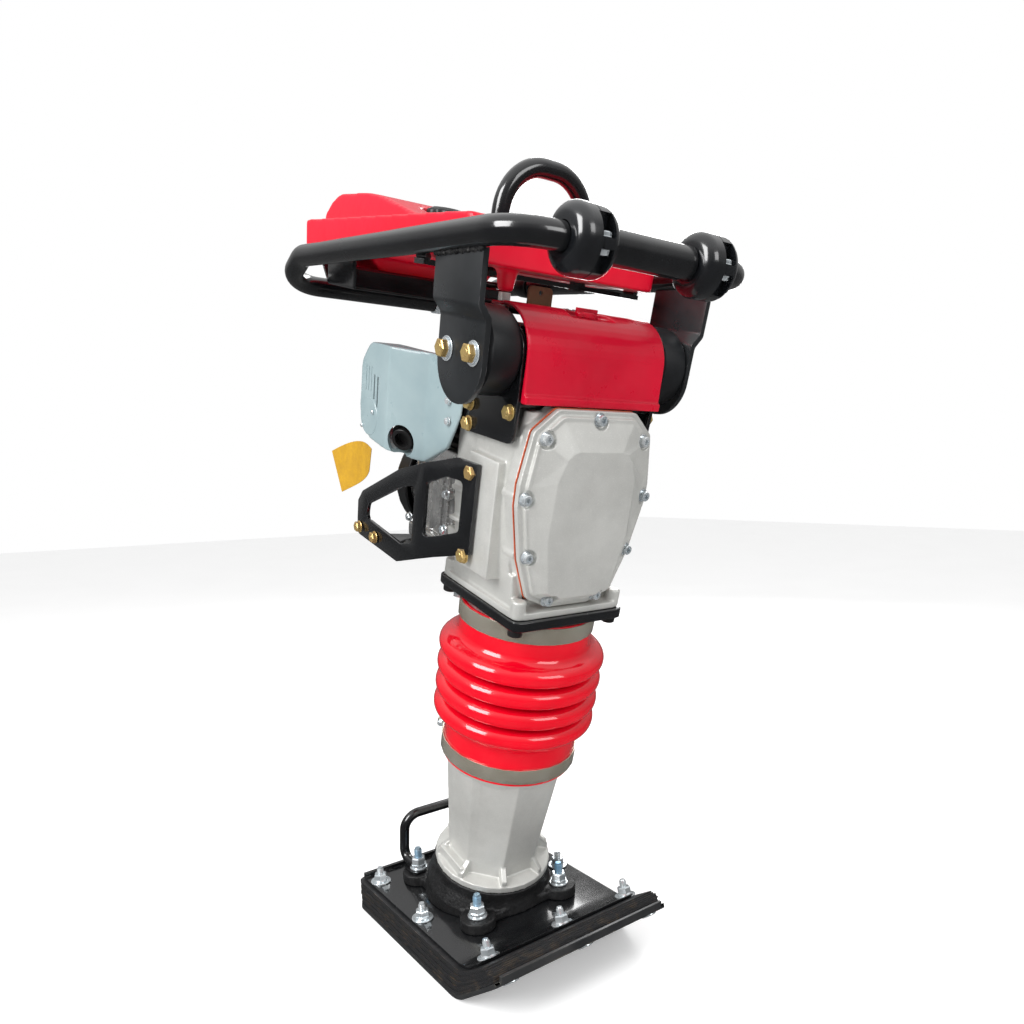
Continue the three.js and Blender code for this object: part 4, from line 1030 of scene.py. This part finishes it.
# ---- handle, rollers and lifting arch ----
def tube_w(u):
    return FRONT_W + (BEND_W - FRONT_W) * (u - FRONT_U) / (BEND_U - FRONT_U)


def handle_loop():
    half = [(-HANDLE_X, FRONT_U, FRONT_W), (-HANDLE_X, BEND_U, BEND_W),
            (-HANDLE_X + 6, REAR_U, REAR_W)]
    path = rounded_path(mirrored(half), [44, 60, 48, 48, 60, 44], 12, closed=True)
    piece("handle_tube", Clay().tube(path, TUBE_R, 40, closed=True), "black_paint", "handle",
          sharp=50, replaces=["handle_loop"])
    weld = Clay()
    for side in (-1, 1):
        for k in range(30):
            u = -56 + 84 * k / 29
            place = at((side * (HANDLE_X - 0.5), u, tube_w(u) - 13.4), (0, 1, 0.1 * sin(k * 2.4)))
            weld.rod(2.6 + 0.5 * sin(k * 1.7), -2, 2, place, 12, 0.8)
    piece("bracket_welds", weld, "black_casting", "handle")


def lifting_arch():
    bar = Clay()
    legs = mirrored([(-59, ARCH_U, 824), (-55, ARCH_U, 934)])
    bar.tube(rounded_path(legs, [0, 50, 50, 0], 16), 9.5, 32)
    bar.block(-148, 148, ARCH_U - 10, ARCH_U + 10, 825, 830)
    for side in (-1, 1):
        bar.tube([(side * 143, ARCH_U - 10, 832.5), (side * 143, ARCH_U + 10, 832.5)], 3.4, 16)
    piece("arch_bar", bar, "black_paint", "handle", sharp=50, replaces=["lifting_arch"])


def roller(side):
    name = "roller_left" if side < 0 else "roller_right"
    place = at((side * ROLLER_X, FRONT_U, FRONT_W), (1, 0, 0))
    h, r = ROLLER_HALF, ROLLER_R
    shoulder = [(r - 13 * (1 - sin(a)), h - 13 * (1 - cos(a)))
                for a in (pi / 2 * k / 8 for k in range(9))]
    rim = [(TUBE_R + 0.8, h)] + shoulder
    profile = [(a, -b) for a, b in rim] + [(r, -0.7), (r - 0.9, 0), (r, 0.7)] + rim[::-1]
    body = Clay().lathe(profile, place, 72, closed=True)
    ahead = Matrix(((0, 0, -1, side * ROLLER_X), (-1, 0, 0, FRONT_U), (0, 1, 0, FRONT_W),
                    (0, 0, 0, 1)))
    cutters, bolts = [], Clay()
    for away in (-1, 1):
        for up in (-1, 1):
            x0, x1 = sorted((away * 14.5, away * 40))
            y0, y1 = sorted((up * 4.5, up * 24))
            cutters.append(Clay().block(x0, x1, y0, y1, -13, 2, ahead))
            hex_bolt(bolts, ahead @ at((away * 23.5, up * 4.8, -5.5), (0, up, 0)), 5.6)
    piece(name + "_grip", body.carved(*cutters), "roller_plastic", BODY[name], sharp=40,
          replaces=[name])
    piece(name + "_bolts", bolts, "zinc", BODY[name])


def sleeve():
    tube = Clay().ring(TUBE_R + 0.4, 16, -55, 55, at((0, FRONT_U, FRONT_W), (1, 0, 0)), 48, 1.2)
    piece("sleeve_tube", tube, "black_paint", "handle", replaces=["roller_sleeve"])


def bracket(side):
    """Bent strap from the side tube down to the rubber mount, round at its foot."""
    inner = [(136, 690), (136, 788), (146, 800), (146, 846)]
    outer = [(152, 846), (152, 797), (142, 785), (142, 690)]
    section = rounded_outline([(side * x, w) for x, w in inner + outer],
                              [0, 7, 7, 0, 0, 7, 7, 0], 4)
    foot = [(42.5 * cos(a) - 15.5, 746.5 + 42.5 * sin(a))
            for a in (-pi * k / 28 for k in range(29))]
    face = Clay().side_prism([(-58, 846), (27, 846)] + foot, side * 130, side * 160)
    tube = Clay().tube([(side * HANDLE_X, u, tube_w(u)) for u in (-70, 60)], TUBE_R + 0.3, 40)
    strap = Clay().front_prism(section, -100, 60).carved(face, operation="INTERSECT").carved(tube)
    name = "bracket_left" if side < 0 else "bracket_right"
    piece(name + "_strap", strap.chamfer(0.8, 40, 2), "satin_black", "handle", sharp=24,
          replaces=[name])


def brackets():
    bracket(-1)
    bracket(1)
    bolts, washers = Clay(), Clay()
    for side in (-1, 1):
        for u, w in ((9, 753), (-41, 755)):
            place = at((side * 142.2, u, w), (side, 0, 0))
            washers.ring(5.5, 12, 0, 1.2, place)
            washers.ring(5.5, 10, 1.2, 3.2, place)
            hex_bolt(bolts, place @ Matrix.Translation((0, 0, 3.2)), 10, washer=False)
    piece("bracket_bolts", bolts, "gold_zinc", "handle")
    piece("bracket_washers", washers, "zinc", "handle")


# ---- fuel tank and controls ----
def fuel_tank():
    """Flat tank with the hump at its rear, the filler's recess and the slot of the lifting arch."""
    slab = Clay().side_prism([(0, 834), (430, 824), (430, 852), (424, 858), (14, 877), (0, 866)],
                             -128, 128)
    plan = Clay().prism(rounded_box(-128, 128, 0, 430, [26, 26, 12, 12]), 760, 960)
    tank = slab.carved(plan, operation="INTERSECT")
    hump = rounded_outline([(128, 850), (128, 866), (286, 896), (404, 893), (428, 868), (428, 850)],
                           [0, 0, 380, 58, 8, 0], 10)
    sides = Clay().front_prism([(-104, 840), (104, 840), (94, 905), (-94, 905)], 100, 460)
    dome = Clay().side_prism(hump, -112, 112).carved(sides, operation="INTERSECT")
    tank.absorb(dome.carved(Clay().rod(30, 870, 960, at((CAP_X, CAP_U, 0)), 48)))
    tank.rod(19, 850, CAP_W - 0.4, at((CAP_X, CAP_U, 0)), 40)
    tank.lathe([(0, 812), (8, 812), (13, 840), (0, 840)], at((-66, 30, 0)), 32)
    sump = [(-100, 838), (100, 838), (70, 800), (-70, 800)]
    tank.front_prism(sump, 300, 372)
    slot = Clay().prism(rounded_box(-74, 74, 54, 84, 12), 780, 960)
    whole = tank.moulded(1.8, 0).carved(slot).moulded(1.8, 12)
    piece("tank_shell", whole, "tank_plastic", "handle", sharp=60, replaces=["fuel_tank"])
    cast("tank_tray", 1.6, 2)
    cap_shell()
    cast("fuel_tap", 0.8, 3)


def cap_shell():
    """Screw cap with finger grips and a domed middle."""
    count, radius = 144, 23.8
    rings = []
    for scale, h in ((0.97, 0), (1.0, 1.2), (1.0, 8.6), (0.95, 10.4), (0.86, 11.2), (0.8, 12.0),
                     (0.7, 13.2), (0.4, 13.8)):
        depth = 0.8 if scale > 0.9 else 0
        radii = [(radius + depth * cos(tau * 12 * k / count)) * scale for k in range(count)]
        rings.append([(x * r, y * r, h) for r, (x, y, _) in zip(radii, circle(1, 0, count))])
    cap = Clay().stack(rings, at((CAP_X, CAP_U, CAP_W)))
    piece("filler_cap_shell", cap, "black_plastic", "cap", sharp=40, replaces=["filler_cap"])


def controls():
    refined("throttle_clamp", 0.6)
    refined("throttle_lever", 0.6)
    route = [(156, 284, 802), (134, 250, 797), (132, 60, 797), (116, 52, 797), (-96, 48, 799),
             (-96, 20, 801), (-50, 20, 802), (6, 24, 792), (76, 50, 793), (88, 86, 786),
             (92, 124, 700)]
    wire = Clay().tube(rounded_path(route, [0, 20, 12, 12, 13, 13, 20, 20, 14, 20, 0]), 2.2, 14)
    piece("throttle_wire", wire, "black_cable", "handle", replaces=["throttle_cable"])


def fittings():
    """Pressed bronze bracket, fuel hose with its worm clamp, and the clip on the rear bar."""
    plate = Clay().front_prism(rounded_box(-36, -4, 796, 822, [0, 0, 5, 5]), 29, 31.5)
    plate = plate.carved(Clay().rod(2.6, 20, 40, at((-20, 0, 816), (0, 1, 0)), 24))
    piece("hose_bracket", plate, "bronze_paint", "handle")
    route = [(-66, 30, 806), (-66, 30, 796), (-20, 36, 796), (40, 40, 800), (98, 66, 794),
             (100, 120, 740), (86, 146, 700), (84, 148, 680)]
    hose = Clay().tube(rounded_path(route, [0, 8, 20, 20, 16, 20, 14, 0]), 4.2, 20)
    piece("fuel_hose", hose, "black_cable", "handle")
    clamp = Clay().ring(4.3, 5.6, -4, 4, at((24, 38.5, 798.8), (1, 0, 0.08)), 32)
    clamp.block(18, 30, 30.5, 34.5, 799, 804)
    hex_bolt(clamp, at((30, 32.5, 801.5), (1, 0, 0)), 4, washer=False)
    clamp.ring(TUBE_R + 0.2, TUBE_R + 2.2, -6, 6, at((86, REAR_U, REAR_W), (1, 0, 0)), 40)
    hex_bolt(clamp, at((86, REAR_U - 16, REAR_W + 3), (0, 0, 1)), 5)
    clamp.block(80, 92, REAR_U - 21, REAR_U - 11, REAR_W - 1, REAR_W + 3)
    piece("hose_clamps", clamp, "zinc", "handle")


# ---- the whole machine ----
def floor():
    obj = Clay().block(-9000, 9000, -9000, 9000, -22, -0.6).bare("floor")
    obj.data.transform(UPRIGHT)
    n = Nodes("pale_floor")
    tone = n.wire("Mix", {0: n.ramp(n.noise(3, 3), 0.3, 0.7), 6: (0.93, 0.93, 0.93, 1),
                          7: (0.9, 0.9, 0.9, 1)}, 2, data_type="RGBA")
    obj.data.materials.append(n.finish(tone, n.ramp(n.noise(5, 3), 0.3, 0.7, 0.8, 0.9),
                                       Emission_Color=(1, 1, 1, 1), Emission_Strength=0.24))
    obj.visible_glossy = False


camera()
studio()
floor()
shoe()
leg()
crankcase()
gearcase_cover()
engine()
yellow_tag()
filter_and_mount()
handle_loop()
lifting_arch()
roller(-1)
roller(1)
sleeve()
brackets()
fuel_tank()
controls()
fittings()
hidden_internals()
